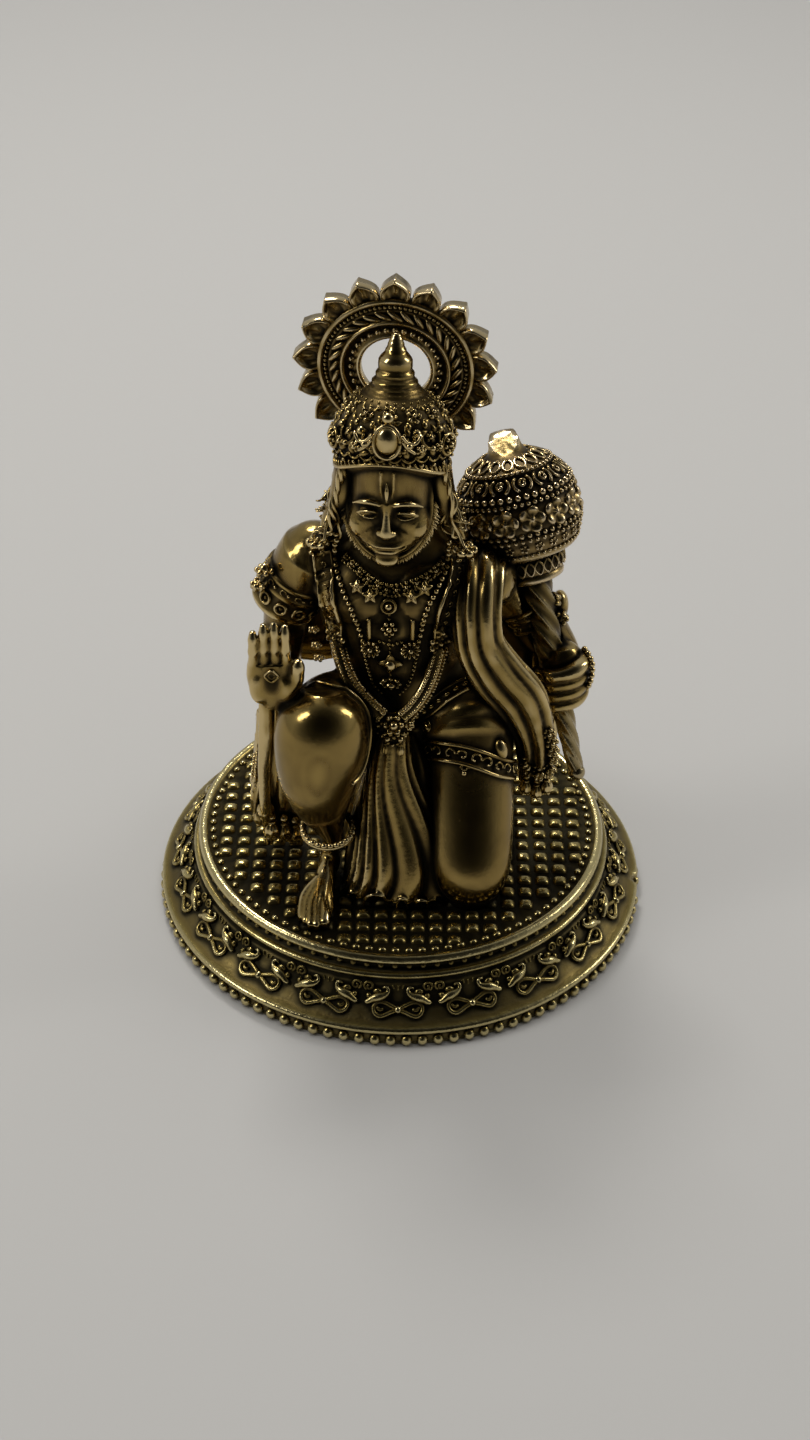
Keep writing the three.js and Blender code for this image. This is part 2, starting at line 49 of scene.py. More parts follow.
UP_VECTOR = Vector((0, 0, 1))
SIDEWAYS = np.array((1.0, 0, 0))
DEEP = np.array((0, 1.0, 0))
UP = np.array((0, 0, 1.0))


# Curves and lofts


def spline(points, t):
    """Places and directions at shares t along a smooth curve through points."""
    p = np.asarray(points, float)
    n = len(p)
    p = np.vstack([2 * p[0] - p[1], p, 2 * p[-1] - p[-2]])
    s = np.clip(t, 0, 1) * (n - 1)
    i = np.minimum(s.astype(int), n - 2)
    w = (s - i)[:, None]
    a, b, c, d = p[i], p[i + 1], p[i + 2], p[i + 3]
    u, v = (c - a) / 2, (d - b) / 2
    cubic, square = 2 * b - 2 * c + u + v, -3 * b + 3 * c - 2 * u - v
    return cubic * w**3 + square * w**2 + u * w + b, 3 * cubic * w**2 + 2 * square * w + u


def unit(v):
    return v / np.maximum(np.linalg.norm(v, axis=-1, keepdims=True), 1e-9)


def tube_faces(rings, sides):
    """Quads round a tube of rings, with its two ends closed by fans on one point each."""
    k, j = np.meshgrid(np.arange(rings - 1), np.arange(sides), indexing="ij")
    k, j, n = k.ravel(), j.ravel(), (j.ravel() + 1) % sides
    quads = np.stack([k * sides + j, k * sides + n, (k + 1) * sides + n, (k + 1) * sides + j], 1)
    ring = np.arange(sides)
    after = (ring + 1) % sides
    last = (rings - 1) * sides
    first_pole = np.full(sides, rings * sides)
    fans = np.vstack([
        np.stack([after, ring, first_pole], 1),
        np.stack([last + ring, last + after, first_pole + 1], 1),
    ])
    return quads, fans


def loft(stations, sides=48, across=SIDEWAYS, relief=None, pitch=0.45):
    """A closed round form through stations (x, y, z, half width, half depth)."""
    st = np.array([(*s[:4], s[4] if len(s) > 4 else s[3]) for s in stations], float)
    length = np.linalg.norm(np.diff(st[:, :3], axis=0), axis=1).sum()
    rings = max(6, int(length / pitch))
    t = np.linspace(0, 1, rings)
    centre, along = spline(st[:, :3], t)
    size = np.maximum(spline(st[:, 3:], t)[0], 0.05)
    along = unit(along)
    side = unit(across - (along @ across)[:, None] * along)
    front = np.cross(side, along)
    angle = np.linspace(0, 2 * np.pi, sides, endpoint=False)
    extra = np.zeros((rings, sides))
    if relief is not None:
        extra = extra + relief(angle[None, :], t[:, None])
    a = (size[:, 0, None] + extra) * np.cos(angle)
    b = (size[:, 1, None] + extra) * np.sin(angle)
    ring = centre[:, None] + a[..., None] * side[:, None] + b[..., None] * front[:, None]
    verts = np.vstack([ring.reshape(-1, 3), centre[0], centre[-1]])
    quads, fans = tube_faces(rings, sides)
    return verts, (quads[:, ::-1], fans[:, ::-1])


def ball(x, y, z, a, b=None, c=None, around=24, up=13):
    b, c = b or a, c or a
    lat = np.linspace(0, np.pi, up)[1:-1]
    lon = np.linspace(0, 2 * np.pi, around, endpoint=False)
    ring = np.stack([
        np.sin(lat)[:, None] * np.cos(lon) * a,
        np.sin(lat)[:, None] * np.sin(lon) * b,
        -np.cos(lat)[:, None] * np.ones(around) * c,
    ], -1)
    verts = np.vstack([ring.reshape(-1, 3), (0, 0, -c), (0, 0, c)]) + (x, y, z)
    return verts, tube_faces(up - 2, around)


def turned(profile, sides):
    """A closed form about Z from (radius, height) pairs, from the bottom up."""
    p = np.array(profile, float)
    angle = np.linspace(0, 2 * np.pi, sides, endpoint=False)
    ring = np.stack([
        p[:, :1] * np.cos(angle), p[:, :1] * np.sin(angle), p[:, 1:] * np.ones(sides),
    ], -1)
    verts = np.vstack([ring.reshape(-1, 3), (0, 0, p[0, 1]), (0, 0, p[-1, 1])])
    return verts, tube_faces(len(p), sides)


def roll(radius, low, high, bulge, steps=7):
    """Points of a half-round roll that bulges outwards from one height to another."""
    turn = np.linspace(0, np.pi, steps + 1)
    return [(radius + bulge * math.sin(t), low + (high - low) * (1 - math.cos(t)) / 2) for t in turn]


def hoop(loop, sides):
    """A ring about Z whose section is a closed loop of (radius, height)."""
    p = np.array(loop, float)
    n = len(p)
    angle = np.linspace(0, 2 * np.pi, sides, endpoint=False)[:, None]
    verts = np.stack([p[:, 0] * np.cos(angle), p[:, 0] * np.sin(angle), p[:, 1] + 0 * angle], -1)
    k, j = (g.ravel() for g in np.meshgrid(np.arange(sides), np.arange(n), indexing="ij"))
    m, q = (k + 1) % sides, (j + 1) % n
    quads = np.stack([k * n + j, m * n + j, m * n + q, k * n + q], 1)
    return verts.reshape(-1, 3), (quads, np.zeros((0, 3), int))


def plaque(outline, height, rings=8, base=0.4):
    """A closed pad on an outline, its top raised by height(x, y, share of the way to the edge)."""
    edge = np.asarray(outline, float)
    middle = edge.mean(0)
    share = np.linspace(1, 0, rings, endpoint=False)[:, None]
    flat = middle + share[..., None] * (edge - middle)
    top = height(flat[..., 0], flat[..., 1], share + 0 * flat[..., 0])
    peak = height(*middle, 0.0)
    verts = np.vstack([
        np.column_stack([edge, np.full(len(edge), -base)]), np.dstack([flat, top]).reshape(-1, 3),
        (*middle, -base), (*middle, peak),
    ])
    return verts, tube_faces(rings + 1, len(edge))


def ring_tube(centre, axis, radius, thick, around=64, sides=12):
    """A round wire bent to a ring about an axis."""
    axis = unit(np.array(axis, float))
    one = unit(np.cross(axis, DEEP if abs(axis[1]) < 0.9 else SIDEWAYS))
    two = np.cross(axis, one)
    turn = np.linspace(0, 2 * np.pi, around, endpoint=False)
    out = np.cos(turn)[:, None] * one + np.sin(turn)[:, None] * two
    angle = np.linspace(0, 2 * np.pi, sides, endpoint=False)
    verts = (
        np.array(centre) + radius * out[:, None] + thick * np.cos(angle)[:, None] * out[:, None]
        + thick * np.sin(angle)[:, None] * axis
    ).reshape(-1, 3)
    k, j = np.meshgrid(np.arange(around), np.arange(sides), indexing="ij")
    k, j = k.ravel(), j.ravel()
    m, n = (k + 1) % around, (j + 1) % sides
    quads = np.stack([k * sides + j, m * sides + j, m * sides + n, k * sides + n], 1)
    return verts, (quads, np.zeros((0, 3), int))


def wire(points, radius, sides=6, pitch=0.3):
    """A round wire laid through points."""
    return loft([(*p, radius) for p in points], sides, UP, None, pitch)


def joined(shapes):
    """Several shapes as one list of points and faces."""
    verts, quads, fans, start = [], [], [], 0
    for v, (q, f) in shapes:
        verts.append(v)
        quads.append(np.asarray(q).reshape(-1, 4) + start)
        fans.append(np.asarray(f).reshape(-1, 3) + start)
        start += len(v)
    return np.vstack(verts), (np.vstack(quads), np.vstack(fans))


def moved(shape, offset=(0, 0, 0), turn=None):
    v, f = shape
    if turn is not None:
        v = v @ np.asarray(turn).T
    return v + np.array(offset, float), f


# Casting: shapes melted into one solid on a grid of distances


class Cast:
    """A block of cells, each of which holds its distance to the metal's surface."""

    def __init__(self, low, high, cell):
        self.cell = cell
        self.band = 5 * cell
        self.low = np.floor(np.array(low) / cell).astype(int)
        shape = np.ceil(np.array(high) / cell).astype(int) - self.low + 1
        self.far = np.full(shape, self.band, np.float32)

    def window(self, shape):
        verts, (quads, fans) = shape
        grid = vdb.FloatGrid.createLevelSetFromPolygons(
            np.ascontiguousarray(verts, np.float32),
            triangles=np.ascontiguousarray(fans, np.uint32),
            quads=np.ascontiguousarray(quads, np.uint32),
            transform=vdb.createLinearTransform(voxelSize=self.cell),
            halfWidth=5.0,
        )
        first, last = (np.array(c) for c in grid.evalActiveVoxelBoundingBox())
        first = np.maximum(first, self.low)
        last = np.minimum(last + 1, self.low + self.far.shape)
        block = np.full(np.maximum(last - first, 1), self.band, np.float32)
        grid.copyToArray(block, ijk=tuple(int(c) for c in first))
        place = tuple(slice(a, a + n) for a, n in zip(first - self.low, block.shape))
        return place, block

    def melt(self, old, new, blend):
        least = np.minimum(old, new)
        if blend <= 0:
            return least
        near = np.maximum(old, new) < 0.98 * self.band
        share = np.clip(1 - np.abs(old - new) / blend, 0, 1)
        return least - np.where(near, share**2 * blend / 4, 0).astype(np.float32)

    def add(self, shape, blend=0.6):
        place, block = self.window(shape)
        self.far[place] = self.melt(self.far[place], block, blend)

    def cut(self, shape, blend=0.2):
        place, block = self.window(shape)
        self.far[place] = -self.melt(-self.far[place], block, blend)

    def stand(self, height, floor):
        """Carries the section at this height straight down to the floor."""
        k = int(round(height / self.cell)) - self.low[2]
        self.far[:, :, :k] = self.far[:, :, k : k + 1]
        f = int(round(floor / self.cell)) - self.low[2]
        for n in range(f + 1):
            depth = (f - n) * self.cell
            self.far[:, :, n] = np.maximum(self.far[:, :, n], min(depth, self.band))

    def mesh(self):
        grid = vdb.FloatGrid(self.band)
        grid.transform = vdb.createLinearTransform(voxelSize=self.cell)
        grid.copyFromArray(self.far, ijk=tuple(int(c) for c in self.low))
        points, fans, quads = grid.convertToPolygons(0.0, 0.0)
        return points.astype(float), (quads.astype(int), fans.astype(int))


def sampled(block, low, cell, points):
    """Values of a block of cells at points, shared out between the eight nearest."""
    at = np.clip(points / cell - low, 0, np.array(block.shape) - 1.001)
    i = at.astype(int)
    f = at - i
    value = 0
    for dx in (0, 1):
        for dy in (0, 1):
            for dz in (0, 1):
                share = (
                    np.abs(1 - dx - f[:, 0]) * np.abs(1 - dy - f[:, 1]) * np.abs(1 - dz - f[:, 2])
                )
                value = value + share * block[i[:, 0] + dx, i[:, 1] + dy, i[:, 2] + dz]
    return value


# Objects

pieces = []


def mesh_from(name, shape):
    verts, (quads, fans) = shape
    mesh = bpy.data.meshes.new(name)
    mesh.vertices.add(len(verts))
    mesh.vertices.foreach_set("co", (verts * 0.001).astype(np.float32).ravel())
    loops = np.concatenate([quads.ravel(), fans.ravel()]).astype(np.int32)
    starts = np.concatenate([
        np.arange(len(quads)) * 4, len(quads) * 4 + np.arange(len(fans)) * 3,
    ]).astype(np.int32)
    mesh.loops.add(len(loops))
    mesh.loops.foreach_set("vertex_index", loops)
    mesh.polygons.add(len(starts))
    mesh.polygons.foreach_set("loop_start", starts)
    mesh.update(calc_edges=True)
    mesh.shade_smooth()
    return mesh


def show(name, mesh, node, metal):
    ob = bpy.data.objects.new(name, mesh)
    bpy.context.scene.collection.objects.link(ob)
    mesh.materials.clear()
    mesh.materials.append(metal)
    pieces.append((ob, node))
    return ob


def thin_out(ob, most):
    """Fewer triangles where the surface is plain."""
    count = sum(len(p.vertices) - 2 for p in ob.data.polygons)
    if count > most:
        step = ob.modifiers.new("thin out", "DECIMATE")
        step.ratio = most / count
        keep = ob.data
        ob.data = bpy.data.meshes.new_from_object(
            ob.evaluated_get(bpy.context.evaluated_depsgraph_get())
        )
        ob.data.name = keep.name
        ob.modifiers.clear()
        ob.data.shade_smooth()
    return ob


# Repeated shapes


def repeat_tree():
    tree = bpy.data.node_groups.new("repeat a shape", "GeometryNodeTree")
    face = tree.interface
    face.new_socket("Geometry", in_out="INPUT", socket_type="NodeSocketGeometry")
    face.new_socket("Shape", in_out="INPUT", socket_type="NodeSocketObject")
    face.new_socket("Size", in_out="INPUT", socket_type="NodeSocketFloat")
    face.new_socket("Unevenness", in_out="INPUT", socket_type="NodeSocketFloat")
    face.new_socket("Seed", in_out="INPUT", socket_type="NodeSocketInt")
    face.new_socket("Metal", in_out="INPUT", socket_type="NodeSocketMaterial")
    face.new_socket("Geometry", in_out="OUTPUT", socket_type="NodeSocketGeometry")
    new, link = tree.nodes.new, tree.links.new
    start, end = new("NodeGroupInput"), new("NodeGroupOutput")
    shape = new("GeometryNodeObjectInfo")
    turn = new("GeometryNodeInputNamedAttribute")
    turn.data_type = "QUATERNION"
    turn.inputs["Name"].default_value = "turn"
    stretch = new("GeometryNodeInputNamedAttribute")
    stretch.data_type = "FLOAT_VECTOR"
    stretch.inputs["Name"].default_value = "stretch"
    low, high = new("ShaderNodeMath"), new("ShaderNodeMath")
    low.operation, high.operation = "SUBTRACT", "ADD"
    low.inputs[0].default_value = high.inputs[0].default_value = 1
    chance = new("FunctionNodeRandomValue")
    chance.data_type = "FLOAT"
    share = new("ShaderNodeMath")
    share.operation = "MULTIPLY"
    size = new("ShaderNodeVectorMath")
    size.operation = "SCALE"
    put, real, metal = (
        new("GeometryNodeInstanceOnPoints"), new("GeometryNodeRealizeInstances"),
        new("GeometryNodeSetMaterial"),
    )
    link(start.outputs["Shape"], shape.inputs["Object"])
    link(start.outputs["Unevenness"], low.inputs[1])
    link(start.outputs["Unevenness"], high.inputs[1])
    link(low.outputs[0], chance.inputs[2])
    link(high.outputs[0], chance.inputs[3])
    link(start.outputs["Seed"], chance.inputs["Seed"])
    link(start.outputs["Size"], share.inputs[0])
    link(chance.outputs[1], share.inputs[1])
    link(stretch.outputs["Attribute"], size.inputs[0])
    link(share.outputs[0], size.inputs["Scale"])
    link(start.outputs["Geometry"], put.inputs["Points"])
    link(shape.outputs["Geometry"], put.inputs["Instance"])
    link(turn.outputs["Attribute"], put.inputs["Rotation"])
    link(size.outputs["Vector"], put.inputs["Scale"])
    link(put.outputs["Instances"], real.inputs["Geometry"])
    link(real.outputs["Geometry"], metal.inputs["Geometry"])
    link(start.outputs["Metal"], metal.inputs["Material"])
    link(metal.outputs["Geometry"], end.inputs["Geometry"])
    return tree


TREE = repeat_tree()
SOCKET = {s.name: s.identifier for s in TREE.interface.items_tree if s.in_out == "INPUT"}


def repeat(shape, places, turns, metal, stretch=None, uneven=0.04, seed=3):
    """Copies of a shape at places, turned by 3x3 frames, as one list of points and faces."""
    places = np.asarray(places, float).reshape(-1, 3)
    template = bpy.data.objects.new("shape", mesh_from("shape", shape))
    mesh = bpy.data.meshes.new("places")
    mesh.from_pydata((places * 0.001).tolist(), [], [])
    quats = [q for m in turns for q in Matrix(m.tolist()).to_quaternion()]
    mesh.attributes.new("turn", "QUATERNION", "POINT").data.foreach_set("value", quats)
    sizes = np.ones((len(places), 3)) if stretch is None else np.asarray(stretch, float)
    mesh.attributes.new("stretch", "FLOAT_VECTOR", "POINT").data.foreach_set("vector", sizes.ravel())
    holder = bpy.data.objects.new("places", mesh)
    for ob in (template, holder):
        bpy.context.scene.collection.objects.link(ob)
    step = holder.modifiers.new("repeat", "NODES")
    step.node_group = TREE
    for name, value in {
        "Shape": template, "Size": 1.0, "Unevenness": uneven, "Seed": seed, "Metal": metal,
    }.items():
        step[SOCKET[name]] = value
    made = bpy.data.meshes.new_from_object(
        holder.evaluated_get(bpy.context.evaluated_depsgraph_get())
    )
    result = shape_of(made)
    bpy.data.objects.remove(holder)
    bpy.data.objects.remove(template)
    return result


def shape_of(mesh):
    verts = np.empty(len(mesh.vertices) * 3, np.float32)
    mesh.vertices.foreach_get("co", verts)
    totals = np.empty(len(mesh.polygons), np.int32)
    mesh.polygons.foreach_get("loop_total", totals)
    starts = np.empty(len(mesh.polygons), np.int32)
    mesh.polygons.foreach_get("loop_start", starts)
    loops = np.empty(len(mesh.loops), np.int32)
    mesh.loops.foreach_get("vertex_index", loops)
    quads = loops[starts[totals == 4][:, None] + np.arange(4)]
    fans = loops[starts[totals == 3][:, None] + np.arange(3)]
    return verts.reshape(-1, 3).astype(float) * 1000, (quads, fans)


# Figure, with z counted from its foot


def ridges(n, sharp=0.6):
    """Round folds with sharp valleys, n of them round the form, from -1 to 1."""
    return lambda angle: 2 * np.abs(np.cos(n * angle / 2)) ** sharp - 1


def body():
    cast = Cast((-22, -24, -1), (27, 20.5, 51), 0.22)
    m = MIDDLE
    cast.add(loft([
        (0.4, 1.4, 17, 8, 6.6), (0, 0, 24, 7.9, 6), (-1, -0.4, 31, 8.6, 6.3), (m, 0, 38, 9.8, 6.6),
        (m, 0.8, 43, 9.9, 5.6), (m, 0.8, 46.4, 6.8, 4.5), (m, -0.4, 50, 3.5, 3.6),
    ]))
    cast.add(ball(-11.6, 1.4, 42.6, 4.5, 4.7, 4.6), 1.6)
    cast.add(ball(9.6, 0.8, 39.8, 4.6, 4.4, 4.2), 1.6)
    for side in (-1, 1):
        cast.add(ball(m + side * 4.4, -2.9, 40.4, 4.4, 3.3, 3.4), 2.4)
    cast.add(loft([
        (-9.6, -11.9, 1.5, 1, 1.3), (-9.4, -12.1, 5, 1.1, 1.35), (-9.2, -12.3, 7.3, 1.4, 1.6),
        (-9.4, -12.4, 8.9, 1.95, 2.05), (-9.9, -12.5, 11, 2.8, 2.95), (-10.4, -12.6, 13.7, 3.95, 4.15),
        (-10.8, -12.6, 18, 5.3, 5.4), (-10.4, -12, 23.5, 6.1, 6.2), (-10.1, -11.4, 27.6, 5.3, 5.5),
        (-10, -10.6, 30.2, 2.6, 2.8),
    ], 64), 0.6)
    cast.add(loft([
        (1.5, 1, 10, 2, 2.4), (-1, 1.6, 12.6, 4.6, 5.2), (-3.6, 0.6, 15.6, 5.8, 6.4),
        (-6, -1.6, 18.5, 6.2, 6.6), (-8.8, -7, 23.4, 6, 5.8), (-10, -11, 26, 4.5, 4.3),
    ]), 1.2)
    cast.add(loft([
        (-9.2, -9.4, 1.6, 1, 1.2), (-9.5, -11, 2.2, 1.4, 2), (-9.8, -13.4, 2.6, 1.2, 2),
        (-10.3, -16.4, 1.7, 1.6, 1.35), (-11.1, -19.4, 0.9, 2.4, 0.75), (-11.15, -21.4, 0.7, 2.0, 0.6),
    ]), 0.8)
    toes = ((-13.0, -21.0, 0.4), (-12.35, -21.8, 0.44), (-11.65, -22.4, 0.48), (-10.85, -22.6, 0.52),
            (-9.8, -22.2, 0.7))
    for x, y, r in toes:
        tendon = (-10.2 + 0.35 * (x + 11.1), -15.6, 3.15)
        cast.add(loft([
            (*tendon, 0.34), (x - 0.2 * (x + 11), y + 3.4, 1.8, 0.46), (x, y + 1.6, 1.2, r),
            (x, y + 0.7, 0.9, r * 1.05), (x, y, 0.6, r), (x, y - 0.3, 0.45, r * 0.5),
        ], 16, pitch=0.25), 0.12)
    cast.add(loft([
        (9.4, -14.8, -0.5, 3.1, 2.9), (9.4, -15, 1, 3.9, 3.4), (9.3, -14.6, 4, 5.3, 4.7),
        (9.1, -11.1, 9, 5.8, 5.4), (8.8, -6.6, 15.3, 6, 5.8), (8, -2.4, 21.8, 6.3, 6.1), (6, 1, 26, 4, 4),
    ], 64), 1.2)
    for fold in (
        ((3.4, -7.0, 20.8, 0.5), (6.8, -8.1, 22.8, 1.0), (10.0, -7.9, 23.0, 1.0), (12.9, -6.8, 21.4, 0.5)),
        ((4.7, -7.0, 23.2, 0.4), (8.1, -7.2, 24.8, 0.9), (11.3, -6.3, 24.7, 0.8), (13.4, -5.2, 23.4, 0.4)),
        ((6.0, -6.2, 25.2, 0.4), (8.9, -5.6, 26.4, 0.8), (11.4, -4.8, 26.6, 0.5)),
    ):
        cast.add(loft(fold, 24, UP), 0.8)
    cast.add(loft([
        (9.8, -13, 3.4, 3.2, 3.2), (10.6, -5, 4, 4.4, 3.8), (11, 4, 3.8, 4, 3.6),
        (10.4, 11, 2.8, 2.7, 2.6), (9.8, 16, 2.4, 2.5, 2.2), (9.6, 19.5, 1.6, 2.4, 1.4),
    ]), 0.8)
    cast.add(loft([
        (-11.8, 1.2, 43.4, 3.9, 4.3), (-13.5, 1.8, 40, 4.1, 4.4), (-15.1, 2.6, 35.5, 3.3, 3.6),
        (-15.7, 2.6, 31, 2.9, 3.3), (-16.3, -1.5, 28.6, 2.8, 2.9), (-16.5, -6.5, 28.4, 2.3, 2.3),
        (-16.5, -9.8, 28.6, 1.9, 2),
    ]), 1.0)
    right_hand(cast)
    cast.add(loft([
        (9.8, 1.8, 40.4, 3.9, 4.1), (11.9, 4.8, 38, 3.8, 4), (15, 6.6, 33.4, 3.6, 3.8),
        (18.2, 6.9, 28.6, 3.4, 3.6), (20.6, 5.6, 25.6, 2.9, 2.9), (21.6, 3.4, 24.8, 2.4, 2.4),
    ]), 1.0)
    head, foot = np.array((14.6, 8, 45.8)), np.array((23.7, -2, 10.8))
    for aside in ((0, 0, 0), (0, -1.2, 0.8), (0, -2.4, 1.6)):
        cast.cut(loft([(*(head + t * (foot - head) + aside), 3 - 1.5 * t) for t in (0.1, 0.4, 0.7)], 32),
                 0.1)
    cast.add(ball(20.6, 6.4, 32.2, 1.2, 1.7, 2.3), 0.5)
    left_hand(cast)
    cast.add(loft([
        (1, 6, 9, 1.6), (1.5, 12, 6, 1.7), (-1.5, 17, 2.4, 1.6), (-6.5, 17.6, 1.7, 1.4),
        (-9, 14, 1.6, 1.3), (-7, 11.6, 1.5, 1.5),
    ], 24, UP), 0.4)
    cast.stand(0.45, SEAT)
    return cast


def right_hand(cast):
    """Palm to the front, four fingers up and the thumb on the inner side."""
    cast.add(loft([
        (-16.3, -10.4, 28, 1.7, 1.6), (-16.4, -10.8, 30, 2.9, 1.7), (-16.5, -11, 32.5, 3.3, 1.45),
        (-16.7, -11, 34.8, 3, 1.15),
    ]), 0.6)
    cast.add(ball(-14.7, -12, 31.2, 1.4, 0.9, 1.9), 0.6)
    cast.add(ball(-18.2, -11.9, 31, 1.2, 0.8, 2.1), 0.6)
    cast.cut(ball(-16.6, -13.0, 32.2, 1.2, 0.75, 1.6), 0.6)
    for k, tip in enumerate((39.5, 40.6, 40.9, 40.5)):
        x = -18.8 + 1.34 * k
        stations = []
        for share, r in ((0, 0.7), (0.14, 0.76), (0.33, 0.64), (0.46, 0.73), (0.64, 0.6), (0.8, 0.66),
                         (1, 0.36)):
            z = 34 + (tip - 34) * share
            stations.append((x, -11 - 0.5 * math.sin(2.6 * share), z, r))
        cast.add(loft(stations, 20, pitch=0.25), 0.1)
    cast.add(loft([
        (-14.4, -11.2, 30.4, 1.2), (-13.6, -11.6, 32.2, 1.05), (-13.3, -11.8, 33.6, 0.9),
        (-13.2, -11.9, 34.8, 0.85), (-13.15, -11.9, 35.7, 0.4),
    ], 24, pitch=0.3), 0.4)


def left_hand(cast):
    """Fist round the mace's shaft, its fingers sloping across the front."""
    cast.add(loft([
        (20.9, 2.2, 21.2, 1.9, 1.7), (21.2, 2, 22.6, 2.9, 2.5), (21.2, 2.1, 25, 3.1, 2.7),
        (21.1, 2.4, 27, 2.7, 2.4), (20.9, 2.6, 28.4, 1.7, 1.6),
    ]), 0.5)
    for z in (21.9, 23.6, 25.3, 26.9):
        cast.add(loft([
            (24.0, 2.6, z + 0.4, 0.8), (23.8, 0.6, z + 0.3, 1.0), (22.6, -1.0, z + 0.1, 1.12),
            (20.6, -1.7, z - 0.3, 0.94), (18.7, -1.3, z - 0.7, 0.96), (17.2, 0.1, z - 0.9, 0.75),
        ], 24, UP, pitch=0.25), 0.18)


def clothes():
    cast = Cast((-22, -19.5, -1), (23.5, 13, 50), 0.24)
    pleat = ridges(14, 0.8)

    def pleated(a, t):
        return 0.56 * (1.15 - t) * pleat(a + 0.22 * np.sin(2 * a + 0.8) + 0.12 * np.sin(6 * t))

    cast.add(loft([
        (-0.4, -15.0, 0.2, 6.7, 3.3), (-0.3, -14.1, 4, 6.0, 3.2), (-0.7, -12, 10, 4.8, 3),
        (-1.5, -10, 17, 3.2, 2.7), (-1.3, -8.4, 23.6, 2.1, 2.2),
    ], 180, SIDEWAYS, pleated))
    crease = ridges(13, 0.9)
    cast.add(loft([
        (1, 0.6, 0.2, 10.5, 9.8), (1, 0.6, 8, 10.8, 9.6), (0.8, 0.4, 15, 9.8, 8.6), (0.2, 0, 21.5, 8.2, 6.9),
    ], 160, SIDEWAYS, lambda a, t: 0.3 * (1 - t) * crease(a + 0.5 * t)), 0.6)
    for fold in (
        ((4.2, -12.8, 0.2, 2, 2.4), (3.8, -10.8, 8, 1.9, 2.1), (2.4, -8.4, 16, 1.3, 1.5),
         (1, -7.2, 20.5, 0.4, 0.5)),
        ((-5.8, -12.6, 0.2, 1.7, 2.4), (-5.4, -11, 7, 1.6, 2.2), (-3.8, -9.2, 15, 1.2, 1.6),
         (-2.4, -7.6, 20, 0.5, 0.6)),
    ):
        cast.add(loft(fold, 80, SIDEWAYS, lambda a, t: 0.25 * (1.1 - t) * crease(0.5 * a + 0.4 * t)), 0.5)
    cast.add(ball(-1.3, -9.8, 24.4, 2.4, 1.6, 1.7), 0.5)
    hem = ((-6.2, -16.4, 0.6, 1.2), (-3.2, -17.9, 1.6, 2.2), (0.3, -18.3, 0.7, 1.9), (2.9, -17.9, 0.9, 1.3),
           (5.2, -16.6, 0.6, 1.2))
    for x, y, wide, high in hem:
        cast.cut(ball(x, y, 0.3, wide, 1.3, high), 0.15)
        arch = [(x + wide * math.cos(a), y + 0.1 - 0.5 * math.sin(a), 0.2 + high * math.sin(a), 0.26)
                for a in np.linspace(0, math.pi, 7)]
        cast.add(loft(arch, 12, DEEP, pitch=0.25), 0.2)
    run = ridges(9, 0.65)
    cast.add(loft([
        (18.0, -3.8, 11, 2.0, 1.3), (17.9, -4.4, 15, 2.2, 1.6), (17.2, -5.2, 20, 2.5, 1.9),
        (15.2, -5.8, 25.5, 3.3, 2.1), (12.1, -6, 29.8, 3.3, 2.2), (9.8, -5.8, 34, 2.9, 2.1),
        (9.2, -5.2, 38, 2.8, 2.1), (9.3, -3.8, 41, 2.8, 1.9), (9.6, -0.6, 42.8, 2.9, 1.6),
        (9.8, 3, 41.4, 3.1, 1.4), (8.8, 6.2, 37.5, 3.4, 1.4),
    ], 140, SIDEWAYS, lambda a, t: 0.45 * run(a + 0.12 * np.sin(2 * a + 1) + 0.3 * np.sin(3 * t))), 0.3)
    cast.add(loft([
        (10.4, -6.7, 35.6, 0.6), (11.6, -6.7, 34, 0.8), (13.3, -6.3, 31.6, 1.0), (15, -5.9, 29.3, 1.1),
        (16.9, -5.6, 26.4, 1.1), (18.2, -5.7, 23.9, 1.1), (18.7, -5.4, 19.5, 1.0),
        (18.9, -4.6, 13.5, 0.8),
    ], 24), 0.35)
    cast.add(loft([
        (19.5, 3, 9, 1.6, 0.6), (19.5, 3.2, 13, 1.7, 0.7), (19.3, 3.7, 20, 1.9, 0.7), (19, 4.6, 26, 2, 0.8),
    ], 40, SIDEWAYS, lambda a, t: 0.15 * np.sin(6 * a + 6 * t)), 0.3)
    cast.add(loft([
        (-17.9, -6.6, 1, 0.6, 0.5), (-18.2, -7.4, 6, 0.7, 0.5), (-18.2, -8, 13, 0.9, 0.5),
        (-17.8, -9, 20, 1.05, 0.5), (-17.4, -9.6, 28, 1.1, 0.6),
    ], 24), 0.2)
    cast.add(loft([
        (-19.4, -4.6, 4, 0.9, 1.1), (-19.5, -4.8, 10, 0.9, 1.2), (-19.1, -5.4, 16, 0.6, 0.8),
        (-18.5, -6.8, 24, 0.5, 0.5),
    ], 40, SIDEWAYS, lambda a, t: 0.15 * np.sin(6 * a + 20 * t)), 0.3)
    layer = ridges(7, 0.7)
    cast.add(loft([
        (-15.6, -5, 1, 2.2, 0.7), (-15.7, -4.8, 8, 2.5, 0.7), (-16, -3.4, 20, 2.6, 0.8),
        (-16.2, -2, 28, 2.6, 0.8),
    ], 60, SIDEWAYS, lambda a, t: 0.2 * layer(a)), 0.2)
    wave = ridges(9, 0.9)
    cast.add(loft([
        (-17, 4, 28.6, 3.6, 1), (-12.4, 5.2, 29.4, 6, 1.2), (-4, 6.9, 31, 7.6, 1.4),
        (8, 6.9, 30.2, 8, 1.4), (14, 6.2, 28, 7.8, 1.2), (18.6, 6, 25.4, 5.8, 1),
        (21, 5.4, 24.6, 3.2, 0.8),
    ], 100, UP, lambda a, t: 0.22 * wave(a)), 0.4)
    cast.stand(0.45, SEAT)
    return cast


